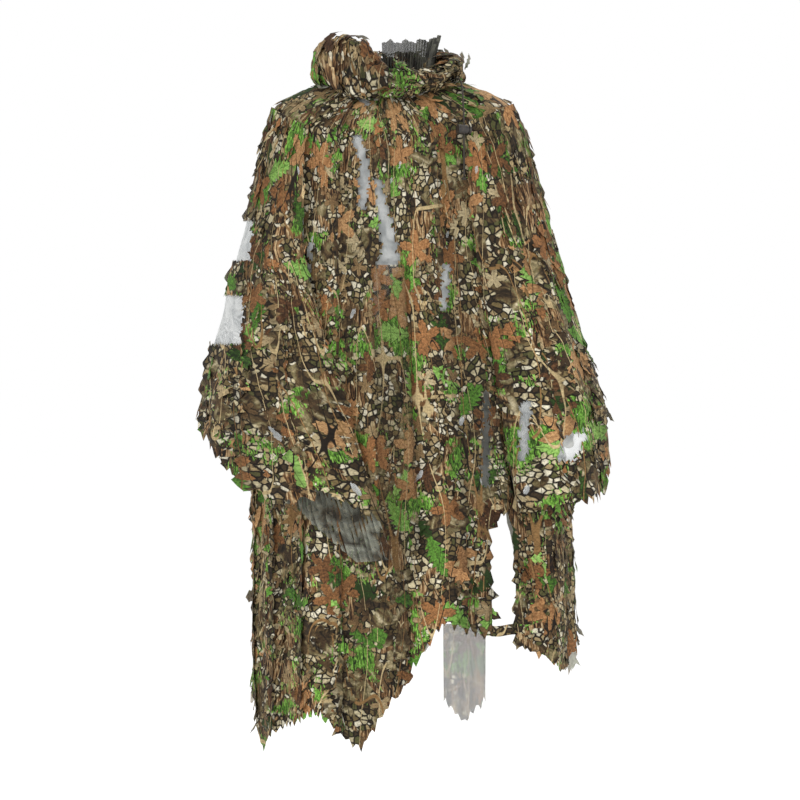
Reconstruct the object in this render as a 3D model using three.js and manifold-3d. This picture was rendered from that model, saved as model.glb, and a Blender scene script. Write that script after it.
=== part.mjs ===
// Hooded leaf-camouflage ghillie poncho with bell sleeves, in millimetres.
// The origin is the middle of the neck opening at shoulder height, where the garment
// rests on a wearer or a hanger. +Z is up, the front faces -Y, and the wearer's left
// arm is on the +X side.
//
// The garment is a tube of netting that hangs from the neck. A place on it is given by
//   index: how far round it is, in strip widths from the centre front (+ towards +X),
//   level: how far down it is, counted in the drape sections listed below,
//   lift:  how far it stands out from the netting's inner face.

import * as THREE from 'three';
import { mergeVertices } from 'three/addons/utils/BufferGeometryUtils.js';
import Module from 'manifold-3d';

// ---- Driving dimensions -------------------------------------------------------------

// Fabric layers
const netThickness = 2;
const printThickness = 2;
const layerGap = 0.8;
const printLift = netThickness + layerGap;
const sleeveClearance = 3;
const underSleeveLift = printLift + printThickness + sleeveClearance;
const topSleeveLift = underSleeveLift + netThickness + layerGap;
const hemTapeLift = printLift + printThickness + layerGap;

// Strips round the body
const stripsRound = 20;
const stripHalfWidth = 0.48;
const panelSeam = 0.01;
const openSlitInset = 0.01;
const degreesPerStrip = 360 / stripsRound;
const arcEvening = 5.2;

// The drape from the neck down: half width, half depth, height at the sides,
// height at the front and back, and the middle's distance from the neck's middle.
const drapeSections = [
  { halfWidth: 90, halfDepth: 78, sideZ: 28, frontZ: -8, middleX: -15 },
  { halfWidth: 130, halfDepth: 92, sideZ: 16, frontZ: -28, middleX: -13 },
  { halfWidth: 168, halfDepth: 106, sideZ: 2, frontZ: -52, middleX: -10 },
  { halfWidth: 203, halfDepth: 118, sideZ: -18, frontZ: -80, middleX: -7 },
  { halfWidth: 211, halfDepth: 129, sideZ: -75, frontZ: -125, middleX: -4 },
  { halfWidth: 215, halfDepth: 137, sideZ: -155, frontZ: -185, middleX: 0 },
  { halfWidth: 222, halfDepth: 145, sideZ: -265, frontZ: -265, middleX: 4 },
  { halfWidth: 236, halfDepth: 153, sideZ: -400, frontZ: -400, middleX: 12 },
  { halfWidth: 252, halfDepth: 162, sideZ: -550, frontZ: -550, middleX: 20 },
  { halfWidth: 268, halfDepth: 170, sideZ: -700, frontZ: -700, middleX: 28 },
  { halfWidth: 272, halfDepth: 174, sideZ: -850, frontZ: -850, middleX: 31 },
  { halfWidth: 273, halfDepth: 177, sideZ: -990, frontZ: -990, middleX: 32 },
  { halfWidth: 274, halfDepth: 180, sideZ: -1150, frontZ: -1150, middleX: 32 },
];
const shoulderLevel = 3;
const underarmLevel = 6;
const sleeveSeamLevel = shoulderLevel + 0.018;
const openSlitLevel = 9;
const bodyLastFullLevel = 10;
const gatheredRowStep = 0.02;

// Heights of the ragged hem, for each strip round the body
const hemHeights = new Map([
  [-10, -1010], [-9, -985], [-8, -1050], [-7, -1000], [-6, -1070], [-5, -1040],
  [-4, -1128], [-3, -1075], [-2, -1050], [-1, -1108], [0, -1000], [1, -890], [2, -915],
  [3, -940], [4, -985], [5, -960], [6, -1030], [7, -975], [8, -700], [9, -700], [10, -1010],
]);

// Body panels: the front and back panels end where the arm openings start
const armOpeningIndex = 2.5;
const slitCentreEdge = 2.05;
const slitSideEdge = 2.75;

// Bell sleeves: front edge at the shoulder and at the mouth, and how far the sleeve
// stands out at each level from the shoulder down
const rightSleeve = {
  side: -1,
  frontAtShoulder: 2.52,
  frontAtMouth: 0.55,
  back: 7.5,
  strips: 6,
  bulges: [0, 9, 24, 52, 80, 104, 112],
  mouthHeights: [-722, -672, -698, -690, -610, -562, -560, -575, -600],
  netHeights: [-700, -798, -800, -700, -640, -600, -590, -590, -610],
};
const leftSleeve = {
  side: 1,
  frontAtShoulder: 2.52,
  frontAtMouth: 2.8,
  back: 7.5,
  strips: 5,
  bulges: [0, 9, 22, 42, 58, 78, 60],
  mouthHeights: [-704, -700, -696, -690, -640, -606, -600, -630, -650],
  netHeights: [-690, -680, -676, -670, -620, -590, -590, -610, -630],
};
const sleeveLastFullLevel = 8;
const sleeveBulgeRoundness = 0.8;
const sleeveStripSeam = 0.02;

// Free-hanging front strip, the net tail below the hem, and the tape across the slit
const placketHalfWidth = 0.46;
const placketTop = -292;
const placketEdgeEnd = -770;
const placketTip = -812;
const tailStart = 1;
const tailEnd = 2;
const tailStartLength = 130;
const tailTipLength = 157.5;
const tailEndLength = 105;
const tailRows = 3;
const hemTapeStart = 1.9;
const hemTapeEnd = 3.35;
const hemTapeTop = -897;
const hemTapeBottom = -915;

// Hood, rolled down round the neck
const hoodFrontGap = 0.3;
const hoodBackGap = 0.03;
const hoodInnerReach = -8;
const hoodOuterReach = 46;
const hoodTopHeights = [62, 66, 74, 84, 88, 84, 80, 78, 80, 82, 82];
const hoodShoulderDrop = 12;
const hoodFootInset = 6;
const hoodOuterShoulderInset = 8;
const hoodInnerShoulderInset = 5;
const hoodSteps = 16;
const hoodSeatClearance = printLift + printThickness + layerGap;
const liningStart = 4;
const liningEnd = 11;
const liningTop = 100;
const neckBandHeight = 12;
const neckBandThickness = 1.4;

// Drawcord, its lock and its knot. The lock slides on the straight stretch.
const cordRadius = 1.5;
const cordRoute = [
  [109.2, -43.4, 27.1],
  [113.5, -45.5, 26.5],
  [119.5, -58, 15],
  [125, -86, -14],
  [129.5, -112, -45],
  [132.4, -132, -143],
];
const cordRouteSteps = 40;
const lockTravelStart = cordRoute.length - 2;
const lockShare = 0.19;
const lockTurnDegrees = 27;
const lockRadius = 8.2;
const lockLength = 17;
const plungerRadius = 5.2;
const plungerClearance = 0.3;
const plungerHeadRadius = 6.6;
const plungerHeadLength = 3;
const plungerStandOff = 3.6;
const plungerLength = 12.5;
const lockFloor = 2;
const cordHoleOffset = 3;
const cordHoleRadius = 2.1;
const plungerTravel = 3;
const springWireRadius = 0.35;
const springTurns = 4;
const springInset = 1.5;
const springPointsPerTurn = 8;
const springSidesPerTurn = 10;
const springWireSides = 6;
const knotRadius = 3.4;
const eyeletOuterRadius = 4.6;
const eyeletInnerRadius = 2.3;
const eyeletThickness = 1.4;

const roundSides = 24;
const partGap = 0.3;

// ---- Materials ----------------------------------------------------------------------

/** A MeshStandardMaterial with the given colour, roughness and metalness. */
function finish(color, roughness, metalness) {
  return new THREE.MeshStandardMaterial({ color, roughness, metalness });
}

const netMaterial = finish(0x55564f, 0.9, 0);
const printMaterial = finish(0x69624d, 0.95, 0);
const cordMaterial = finish(0x2c2a24, 0.8, 0);
const plasticMaterial = finish(0x17171a, 0.4, 0);
const springMaterial = finish(0xb0b3b6, 0.3, 1);
const eyeletMaterial = finish(0x2a2a2c, 0.4, 0.8);

// ---- The drape ----------------------------------------------------------------------

/** The angle from the centre front of a place round the body, in radians. */
function drapeAngle(index) {
  const even = degreesPerStrip * index;
  const eased = even - arcEvening * Math.sin(THREE.MathUtils.degToRad(2 * even));
  return THREE.MathUtils.degToRad(eased);
}

/** The drape's section at a level, between the two listed sections nearest to it. */
function sectionAt(level) {
  const last = drapeSections.length - 2;
  const upper = Math.min(Math.max(Math.floor(level), 0), last);
  const share = level - upper;
  const blend = (key) => THREE.MathUtils.lerp(
    drapeSections[upper][key], drapeSections[upper + 1][key], share);
  return {
    halfWidth: blend('halfWidth'),
    halfDepth: blend('halfDepth'),
    sideZ: blend('sideZ'),
    frontZ: blend('frontZ'),
    middleX: blend('middleX'),
  };
}

/** The point of the netting's inner face at a place on the drape. */
function facePoint(index, level) {
  const section = sectionAt(level);
  const angle = drapeAngle(index);
  const sideShare = Math.sin(angle) ** 2;
  return new THREE.Vector3(
    section.middleX + section.halfWidth * Math.sin(angle),
    -section.halfDepth * Math.cos(angle),
    THREE.MathUtils.lerp(section.frontZ, section.sideZ, sideShare));
}

/** The outward direction of the drape at a place on it. */
function faceNormal(index, level) {
  const step = 0.2;
  const above = facePoint(index, level - step);
  const below = facePoint(index, level + step);
  const before = facePoint(index - step, level);
  const after = facePoint(index + step, level);
  return below.sub(above).cross(after.sub(before)).normalize();
}

/** The point that stands out by the given lift at a place on the drape. */
function drapePoint(index, level, lift) {
  return facePoint(index, level).addScaledVector(faceNormal(index, level), lift);
}

/** The level below the underarm at which the drape reaches a height. */
function levelAtHeight(height) {
  let upper = underarmLevel;
  while (upper < drapeSections.length - 2 && drapeSections[upper + 1].frontZ > height) {
    upper += 1;
  }
  const top = drapeSections[upper].frontZ;
  const bottom = drapeSections[upper + 1].frontZ;
  return upper + (height - top) / (bottom - top);
}

/** The value of a list at a share of its length, with straight steps between entries. */
function listAt(values, share) {
  const place = share * (values.length - 1);
  const before = Math.min(Math.floor(place), values.length - 2);
  return THREE.MathUtils.lerp(values[before], values[before + 1], place - before);
}

/** The hem's height at a place round the body. */
function hemHeight(index) {
  const wrapped = THREE.MathUtils.euclideanModulo(index + stripsRound / 2, stripsRound);
  const place = wrapped - stripsRound / 2;
  const before = Math.floor(place);
  return THREE.MathUtils.lerp(
    hemHeights.get(before), hemHeights.get(before + 1), place - before);
}

/** The whole levels from one level to another. */
function levelsBetween(first, last) {
  return Array.from({ length: last - first + 1 }, (_, i) => first + i);
}

// ---- Shape makers -------------------------------------------------------------------

/** A BufferGeometry from a list of points and a list of triangles. */
function geometryFrom(points, triangles) {
  const geometry = new THREE.BufferGeometry();
  const positions = points.flatMap((p) => [p.x, p.y, p.z]);
  geometry.setAttribute('position', new THREE.Float32BufferAttribute(positions, 3));
  geometry.setIndex(triangles.flat());
  return geometry;
}

/**
 * A closed thin sheet. place(row, column, depth) gives its points, where depth is 0 on
 * the inner face and 1 on the outer face. Rows run down and columns run to the wearer's left.
 */
function sheet(rows, columns, place) {
  const points = [];
  for (const depth of [0, 1]) {
    for (let row = 0; row <= rows; row += 1) {
      for (let column = 0; column <= columns; column += 1) {
        points.push(place(row, column, depth));
      }
    }
  }
  const skin = (rows + 1) * (columns + 1);
  const at = (row, column, depth) => depth * skin + row * (columns + 1) + column;
  const triangles = [];
  const addQuad = (a, b, c, d) => triangles.push([a, b, d], [b, c, d]);
  for (let row = 0; row < rows; row += 1) {
    for (let column = 0; column < columns; column += 1) {
      addQuad(at(row, column, 1), at(row + 1, column, 1),
        at(row + 1, column + 1, 1), at(row, column + 1, 1));
      triangles.push([at(row, column, 0), at(row, column + 1, 0), at(row + 1, column, 0)]);
      triangles.push([at(row + 1, column, 0), at(row, column + 1, 0), at(row + 1, column + 1, 0)]);
    }
  }
  for (let row = 0; row < rows; row += 1) {
    addQuad(at(row, 0, 0), at(row + 1, 0, 0), at(row + 1, 0, 1), at(row, 0, 1));
    addQuad(at(row, columns, 1), at(row + 1, columns, 1),
      at(row + 1, columns, 0), at(row, columns, 0));
  }
  for (let column = 0; column < columns; column += 1) {
    addQuad(at(0, column, 1), at(0, column + 1, 1), at(0, column + 1, 0), at(0, column, 0));
    addQuad(at(rows, column, 0), at(rows, column + 1, 0),
      at(rows, column + 1, 1), at(rows, column, 1));
  }
  return geometryFrom(points, triangles);
}

/**
 * A sheet that lies on the drape. indices(level) gives its columns, levels its full rows
 * and end(index), where there is one, its last row's level. Rows that would pass the end
 * are gathered just above it.
 */
function drapeSheet({ levels, indices, end, lift, thickness }) {
  const rows = end ? levels.length : levels.length - 1;
  const levelAt = (row, index) => {
    if (!end) return levels[row];
    return Math.min(levels[row] ?? Infinity, end(index) - (rows - row) * gatheredRowStep);
  };
  const place = (row, column, depth) => {
    const index = indices(levels[Math.min(row, levels.length - 1)])[column];
    return drapePoint(index, levelAt(row, index), lift + depth * thickness);
  };
  return sheet(rows, indices(levels[0]).length - 1, place);
}

/** A round ring about the Z axis, from one height to another. */
function ring(innerRadius, outerRadius, bottom, top) {
  const outline = [
    new THREE.Vector2(innerRadius, bottom),
    new THREE.Vector2(outerRadius, bottom),
    new THREE.Vector2(outerRadius, top),
    new THREE.Vector2(innerRadius, top),
    new THREE.Vector2(innerRadius, bottom),
  ];
  return new THREE.LatheGeometry(outline, roundSides).rotateX(Math.PI / 2);
}

/** A round rod about the Z axis, from one height to another. */
function rod(radius, bottom, top) {
  const outline = [
    new THREE.Vector2(0, bottom),
    new THREE.Vector2(radius, bottom),
    new THREE.Vector2(radius, top),
    new THREE.Vector2(0, top),
  ];
  return new THREE.LatheGeometry(outline, roundSides).rotateX(Math.PI / 2);
}

/** A tube along a curve, closed at both ends. */
function tubeAlong(curve, radius, steps, sides) {
  const section = new THREE.Shape();
  for (let side = 0; side < sides; side += 1) {
    const angle = (2 * Math.PI * side) / sides;
    const x = radius * Math.cos(angle);
    const y = radius * Math.sin(angle);
    if (side === 0) section.moveTo(x, y);
    else section.lineTo(x, y);
  }
  section.closePath();
  return new THREE.ExtrudeGeometry(section, { steps, extrudePath: curve, bevelEnabled: false });
}

const wasm = await Module();
wasm.setup();

/** A manifold solid from a closed geometry. */
function toSolid(geometry) {
  const plain = geometry.index ? geometry.clone() : geometry;
  plain.deleteAttribute('normal');
  plain.deleteAttribute('uv');
  const merged = mergeVertices(plain, 1e-4);
  return new wasm.Manifold(new wasm.Mesh({
    numProp: 3,
    vertProperties: Float32Array.from(merged.attributes.position.array),
    triVerts: Uint32Array.from(merged.index.array),
  }));
}

/** A geometry from a manifold solid. */
function fromSolid(solid) {
  const mesh = solid.getMesh();
  const geometry = new THREE.BufferGeometry();
  geometry.setAttribute('position', new THREE.Float32BufferAttribute(mesh.vertProperties, 3));
  geometry.setIndex(Array.from(mesh.triVerts));
  return geometry;
}

// ---- The garment --------------------------------------------------------------------

const group = new THREE.Group();

/** Adds a named mesh to the garment, or to another group. */
function addPiece(name, geometry, material, parent = group) {
  geometry.computeVertexNormals();
  const mesh = new THREE.Mesh(geometry, material);
  mesh.name = name;
  parent.add(mesh);
}

const hemLevel = (index) => levelAtHeight(hemHeight(index));
const bodyLevels = levelsBetween(0, bodyLastFullLevel);
const lowerBodyLevels = levelsBetween(underarmLevel, bodyLastFullLevel);
const shoulderLevels = levelsBetween(0, shoulderLevel);
const armBackIndex = stripsRound / 2 - armOpeningIndex;

/** Indices at every half strip from one edge to the other, as a sheet's columns. */
function halfStrips(first, last, inset = 0) {
  const columns = Math.round(2 * (last - first));
  const indices = Array.from({ length: columns + 1 }, (_, i) => first + i / 2);
  indices[0] += inset;
  indices[columns] -= inset;
  return indices;
}

/** The columns of the left front, whose outer edge steps in beside the open slit. */
function leftFrontIndices(level) {
  const indices = halfStrips(0, armOpeningIndex, panelSeam);
  if (level >= openSlitLevel) indices[indices.length - 1] = slitCentreEdge;
  return indices;
}

/** The columns of the left side, whose front edge steps back beside the open slit. */
function leftSideIndices(level) {
  const indices = halfStrips(armOpeningIndex, armBackIndex);
  if (level >= openSlitLevel) indices[0] = slitSideEdge;
  return indices;
}

/** The netting panels of the body: two fronts, two sides, two shoulders and the back. */
function addNetPanels() {
  const panels = {
    net_front_right: [bodyLevels, () => halfStrips(-armOpeningIndex, 0, panelSeam)],
    net_front_left: [bodyLevels, leftFrontIndices],
    net_back: [bodyLevels, () => halfStrips(armBackIndex, stripsRound - armBackIndex, panelSeam)],
    net_side_right: [lowerBodyLevels, () => halfStrips(-armBackIndex, -armOpeningIndex)],
    net_side_left: [lowerBodyLevels, leftSideIndices],
    net_shoulder_right: [shoulderLevels, () => halfStrips(-armBackIndex, -armOpeningIndex)],
    net_shoulder_left: [shoulderLevels, () => halfStrips(armOpeningIndex, armBackIndex)],
  };
  for (const [name, [levels, indices]] of Object.entries(panels)) {
    const end = levels === shoulderLevels ? undefined : hemLevel;
    const geometry = drapeSheet({ levels, indices, end, lift: 0, thickness: netThickness });
    addPiece(name, geometry, netMaterial);
  }
}

/** Adds one printed strip on the body, round the given index. */
function addBodyStrip(name, index, levels, indices) {
  const plain = [index - stripHalfWidth, index, index + stripHalfWidth];
  addPiece(name, drapeSheet({
    levels,
    indices: indices ?? (() => plain),
    end: hemLevel,
    lift: printLift,
    thickness: printThickness,
  }), printMaterial);
}

/** The leaf-cut printed strips on the body. */
function addBodyStrips() {
  addBodyStrip('front_strip_right_outer', -2, bodyLevels);
  addBodyStrip('front_strip_right_inner', -1, bodyLevels);
  addBodyStrip('front_strip_left_inner', 1, bodyLevels);
  addBodyStrip('front_strip_left_outer', 2, bodyLevels, (level) => {
    const edge = level < openSlitLevel ? 2 + stripHalfWidth : slitCentreEdge - openSlitInset;
    return [2 - stripHalfWidth, 2, edge];
  });
  for (let strip = 8; strip <= 12; strip += 1) {
    addBodyStrip(`back_strip_${strip - 7}`, strip, bodyLevels);
  }
  for (let strip = 3; strip <= 7; strip += 1) {
    addBodyStrip(`side_strip_right_${strip - 2}`, -strip, lowerBodyLevels);
  }
  addBodyStrip('side_strip_left_1', 3, lowerBodyLevels, (level) => {
    const edge = level < openSlitLevel ? 3 - stripHalfWidth : slitSideEdge + openSlitInset;
    return [edge, 3, 3 + stripHalfWidth];
  });
  for (let strip = 4; strip <= 7; strip += 1) {
    addBodyStrip(`side_strip_left_${strip - 2}`, strip, lowerBodyLevels);
  }
}

/** The printed covers on the shoulders, from the neck to the arm openings. */
function addShoulderCovers() {
  const inset = 0.5 - stripHalfWidth;
  const sides = {
    shoulder_cover_right: halfStrips(-armBackIndex, -armOpeningIndex, inset),
    shoulder_cover_left: halfStrips(armOpeningIndex, armBackIndex, inset),
  };
  for (const [name, indices] of Object.entries(sides)) {
    addPiece(name, drapeSheet({
      levels: shoulderLevels,
      indices: () => indices,
      lift: printLift,
      thickness: printThickness,
    }), printMaterial);
  }
}

/** A sleeve's front edge at a level. */
function sleeveFront(sleeve, level) {
  const last = sleeveLastFullLevel + 1;
  const share = Math.max(level - underarmLevel, 0) / (last - underarmLevel);
  return THREE.MathUtils.lerp(sleeve.frontAtShoulder, sleeve.frontAtMouth, share);
}

/** How far a sleeve's outer wall stands out beyond its lift, at a share of its width. */
function sleeveBulge(sleeve, level, share) {
  const place = (level - shoulderLevel) / (sleeve.bulges.length - 1);
  return listAt(sleeve.bulges, Math.min(place, 1)) * Math.sin(Math.PI * share) ** sleeveBulgeRoundness;
}

/** A sheet of a sleeve between two shares of its width, front edge first. */
function sleeveSheet(sleeve, { first, last, columns, topLevel, heights, lift, thickness }) {
  const whole = levelsBetween(Math.ceil(topLevel), sleeveLastFullLevel);
  const full = whole[0] === topLevel ? whole : [topLevel, ...whole];
  const rows = full.length + 1;
  const levelAt = (row, share) => {
    if (row < full.length) return full[row];
    const end = levelAtHeight(listAt(heights, share));
    const next = sleeveLastFullLevel + 1;
    const between = end > next ? next : (sleeveLastFullLevel + end) / 2;
    return row < rows ? between : end;
  };
  const place = (row, column, depth) => {
    const across = sleeve.side > 0 ? column / columns : 1 - column / columns;
    const share = THREE.MathUtils.lerp(first, last, across);
    const level = levelAt(row, share);
    const index = THREE.MathUtils.lerp(sleeveFront(sleeve, level), sleeve.back, share);
    return drapePoint(sleeve.side * index, level, lift(level, share) + depth * thickness);
  };
  return sheet(rows, columns, place);
}

/** The lift of a sleeve's outer wall: level with the shoulder cover at its seam. */
function sleeveTopLift(sleeve, level, share) {
  const clear = level > sleeveSeamLevel ? topSleeveLift : printLift;
  return clear + sleeveBulge(sleeve, level, share);
}

/** A sleeve's outer wall, its netting underside and its printed strips. */
function addSleeve(name, sleeve) {
  addPiece(`sleeve_${name}_top`, sleeveSheet(sleeve, {
    first: 0,
    last: 1,
    columns: 2 * sleeve.strips,
    topLevel: sleeveSeamLevel,
    heights: sleeve.mouthHeights,
    lift: (level, share) => sleeveTopLift(sleeve, level, share),
    thickness: netThickness,
  }), netMaterial);
  addPiece(`sleeve_${name}_underside`, sleeveSheet(sleeve, {
    first: 0,
    last: 1,
    columns: 2 * sleeve.strips,
    topLevel: underarmLevel,
    heights: sleeve.netHeights,
    lift: () => underSleeveLift,
    thickness: netThickness,
  }), netMaterial);
  for (let strip = 0; strip < sleeve.strips; strip += 1) {
    addPiece(`sleeve_${name}_strip_${strip + 1}`, sleeveSheet(sleeve, {
      first: (strip + sleeveStripSeam) / sleeve.strips,
      last: (strip + 1 - sleeveStripSeam) / sleeve.strips,
      columns: 2,
      topLevel: sleeveSeamLevel,
      heights: sleeve.mouthHeights,
      lift: (level, share) => sleeveTopLift(sleeve, level, share) + netThickness + layerGap,
      thickness: printThickness,
    }), printMaterial);
  }
}

/** The printed strip that hangs free down the centre front. */
function addFrontPlacket() {
  const end = (index) => {
    const share = 1 - Math.abs(index) / placketHalfWidth;
    return levelAtHeight(THREE.MathUtils.lerp(placketEdgeEnd, placketTip, share));
  };
  addPiece('front_placket', drapeSheet({
    levels: [levelAtHeight(placketTop), ...levelsBetween(underarmLevel + 1, openSlitLevel)],
    indices: () => [-placketHalfWidth, 0, placketHalfWidth],
    end,
    lift: printLift,
    thickness: printThickness,
  }), printMaterial);
}

/** The net tail that hangs below the hem at the left of the front. */
function addNetTail() {
  const columns = [tailStart, (tailStart + tailEnd) / 2, tailEnd];
  const lengths = [tailStartLength, tailTipLength, tailEndLength];
  const place = (row, column, depth) => {
    const index = columns[column];
    const hem = hemHeight(index);
    const bottom = hem - lengths[column];
    const height = THREE.MathUtils.lerp(hem - layerGap, bottom, row / tailRows);
    return drapePoint(index, levelAtHeight(height), depth * netThickness);
  };
  addPiece('net_tail', sheet(tailRows, 2, place), netMaterial);
}

/** The hem tape that crosses the foot of the open slit. */
function addHemTape() {
  const columns = 4;
  const place = (row, column, depth) => {
    const index = THREE.MathUtils.lerp(hemTapeStart, hemTapeEnd, column / columns);
    const level = levelAtHeight(row === 0 ? hemTapeTop : hemTapeBottom);
    return drapePoint(index, level, hemTapeLift + depth * printThickness);
  };
  addPiece('hem_tape', sheet(1, columns, place), printMaterial);
}

/** A point beside the neck opening: how far out from its edge, and at what height. */
function neckPoint(index, reach, height) {
  const neck = sectionAt(0);
  const angle = drapeAngle(index);
  return new THREE.Vector3(
    neck.middleX + (neck.halfWidth + reach) * Math.sin(angle),
    -(neck.halfDepth + reach) * Math.cos(angle),
    height);
}

/** The height of the shoulder surface at a reach out from the neck opening's edge. */
function seatHeight(index, reach) {
  const level = reach / (sectionAt(1).halfWidth - sectionAt(0).halfWidth);
  return facePoint(index, Math.max(level, 0)).z;
}

/** The outline of the rolled hood at a place round the neck, as reach and height pairs. */
function hoodOutline(index) {
  const top = listAt(hoodTopHeights, Math.abs(index) / (stripsRound / 2));
  const middle = hoodInnerReach + (hoodOuterReach - hoodInnerReach) / 2;
  const seat = (reach) => seatHeight(index, reach) + hoodSeatClearance + layerGap;
  const shoulder = top - hoodShoulderDrop;
  return [
    [0, seat(0)],
    [middle, seat(middle)],
    [hoodOuterReach - hoodFootInset, seat(hoodOuterReach - hoodFootInset)],
    [hoodOuterReach, (seat(hoodOuterReach) + shoulder) / 2],
    [hoodOuterReach - hoodOuterShoulderInset, shoulder],
    [middle, top],
    [hoodInnerReach + hoodInnerShoulderInset, shoulder],
    [hoodInnerReach, (seat(0) + shoulder) / 2],
  ];
}

/** One half of the rolled hood, a soft roll from the front to the back of the neck. */
function addHoodHalf(name, side) {
  const steps = hoodSteps;
  const last = stripsRound / 2 - hoodBackGap;
  const rings = [];
  for (let step = 0; step <= steps; step += 1) {
    const index = side * THREE.MathUtils.lerp(hoodFrontGap, last, step / steps);
    rings.push(hoodOutline(index).map(([reach, height]) => neckPoint(index, reach, height)));
  }
  if (side < 0) rings.reverse();
  const count = rings[0].length;
  const points = rings.flat();
  const at = (step, corner) => step * count + (corner % count);
  const triangles = [];
  for (let step = 0; step < steps; step += 1) {
    for (let corner = 0; corner < count; corner += 1) {
      triangles.push([at(step, corner), at(step + 1, corner), at(step, corner + 1)]);
      triangles.push([at(step + 1, corner), at(step + 1, corner + 1), at(step, corner + 1)]);
    }
  }
  for (let corner = 1; corner < count - 1; corner += 1) {
    triangles.push([at(0, 0), at(0, corner), at(0, corner + 1)]);
    triangles.push([at(steps, 0), at(steps, corner + 1), at(steps, corner)]);
  }
  addPiece(name, geometryFrom(points, triangles), printMaterial);
}

/** The pleated net lining of the hood, which stands up inside the roll at the back. */
function addHoodLining() {
  const columns = 2 * (liningEnd - liningStart);
  const place = (row, column, depth) => {
    const index = THREE.MathUtils.lerp(liningStart, liningEnd, column / columns);
    const bottom = seatHeight(index, 0) + 2 * hoodSeatClearance;
    const height = THREE.MathUtils.lerp(liningTop, bottom, row / 2);
    const inward = hoodInnerReach - layerGap - netThickness;
    return neckPoint(index, inward + depth * netThickness, height);
  };
  addPiece('hood_lining', sheet(2, columns, place), netMaterial);
}

/** The band that binds the neck opening's edge. */
function addNeckBand() {
  const steps = 2 * stripsRound;
  const place = (row, column, depth) => {
    const index = THREE.MathUtils.lerp(hoodFrontGap, stripsRound - hoodFrontGap, column / steps);
    const top = seatHeight(index, 0) + hoodSeatClearance;
    const reach = (depth - 1) * neckBandThickness - partGap;
    return neckPoint(index, reach, top - row * neckBandHeight);
  };
  addPiece('neck_band', sheet(1, steps, place), printMaterial);
}

/** The drawcord's route, in order from the eyelet to the knot. */
function cordCurve() {
  const points = cordRoute.map((point) => new THREE.Vector3(...point));
  const path = new THREE.CurvePath();
  const bend = new THREE.CatmullRomCurve3(points.slice(0, lockTravelStart + 1));
  path.add(bend);
  path.add(new THREE.LineCurve3(points[lockTravelStart], points[lockTravelStart + 1]));
  return path;
}

/** The direction of the straight stretch that the lock slides on, towards the knot. */
function lockDirection() {
  const start = new THREE.Vector3(...cordRoute[lockTravelStart]);
  const end = new THREE.Vector3(...cordRoute[lockTravelStart + 1]);
  return end.sub(start).normalize();
}

/** Places a group with its Z axis along a direction at a point. */
function placeAlong(object, point, direction) {
  object.position.copy(point);
  object.quaternion.setFromUnitVectors(new THREE.Vector3(0, 0, 1), direction);
}

/** A rod across the lock through which the cord passes, stretched along the lock's axis. */
function cordHole(reach, low, high) {
  const hole = new THREE.BoxGeometry(high - low, 2 * cordHoleRadius, 2 * reach);
  hole.translate((low + high) / 2, 0, 0);
  return toSolid(hole);
}

/** The cord lock: a barrel, a plunger that slides in it, and the spring between them. */
function addCordLock(parent) {
  const mouth = lockLength / 2 - cordHoleOffset;
  const foot = mouth - lockLength;
  const floor = foot + lockFloor;
  const boreRadius = plungerRadius + plungerClearance;
  const alongX = new THREE.Matrix4().makeRotationY(Math.PI / 2);
  const barrel = toSolid(rod(lockRadius, foot, mouth).applyMatrix4(alongX));
  const bore = toSolid(rod(boreRadius, floor, mouth + 1).applyMatrix4(alongX));
  const reach = lockRadius + 1;
  const passage = cordHole(reach, -cordHoleRadius, cordHoleRadius);
  addPiece('lock_barrel', fromSolid(barrel.subtract(bore).subtract(passage)), plasticMaterial, parent);

  const headBase = mouth + plungerStandOff;
  const stem = toSolid(rod(plungerRadius, headBase - plungerLength, headBase).applyMatrix4(alongX));
  const head = toSolid(
    rod(plungerHeadRadius, headBase - partGap, headBase + plungerHeadLength).applyMatrix4(alongX));
  const slot = cordHole(reach, -cordRadius - partGap, cordRadius + partGap + plungerTravel);
  addPiece('lock_plunger', fromSolid(stem.add(head).subtract(slot)), plasticMaterial, parent);

  const springEnd = headBase - plungerLength - partGap - springWireRadius;
  const springStart = floor + partGap + springWireRadius;
  const coilRadius = plungerRadius - springInset;
  const coilPoints = springPointsPerTurn * springTurns;
  const coil = new THREE.CatmullRomCurve3(Array.from({ length: coilPoints + 1 }, (_, i) => {
    const angle = (2 * Math.PI * i) / springPointsPerTurn;
    const along = THREE.MathUtils.lerp(springStart, springEnd, i / coilPoints);
    return new THREE.Vector3(along, coilRadius * Math.cos(angle), coilRadius * Math.sin(angle));
  }));
  const wire = tubeAlong(coil, springWireRadius, springSidesPerTurn * springTurns, springWireSides);
  addPiece('lock_spring', wire, springMaterial, parent);
}

/** The hood's drawcord with its eyelet, lock and end knot. */
function addDrawcord() {
  const curve = cordCurve();
  addPiece('hood_drawcord', tubeAlong(curve, cordRadius, cordRouteSteps, 8), cordMaterial);

  const start = new THREE.Vector3(...cordRoute[0]);
  const out = new THREE.Vector3(...cordRoute[1]).sub(start).normalize();
  const eyelet = new THREE.Group();
  placeAlong(eyelet, start, out);
  group.add(eyelet);
  addPiece('cord_eyelet',
    ring(eyeletInnerRadius, eyeletOuterRadius, 0, eyeletThickness), eyeletMaterial, eyelet);

  const straightStart = new THREE.Vector3(...cordRoute[lockTravelStart]);
  const end = new THREE.Vector3(...cordRoute[lockTravelStart + 1]);
  const lock = new THREE.Group();
  placeAlong(lock, straightStart.clone().lerp(end, lockShare), lockDirection().negate());
  lock.rotateZ(THREE.MathUtils.degToRad(lockTurnDegrees));
  group.add(lock);
  addCordLock(lock);

  const knot = new THREE.Group();
  placeAlong(knot, end.clone().addScaledVector(lockDirection(), knotRadius + partGap), lockDirection());
  group.add(knot);
  addPiece('cord_knot', new THREE.SphereGeometry(knotRadius, 12, 8), cordMaterial, knot);
}

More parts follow.
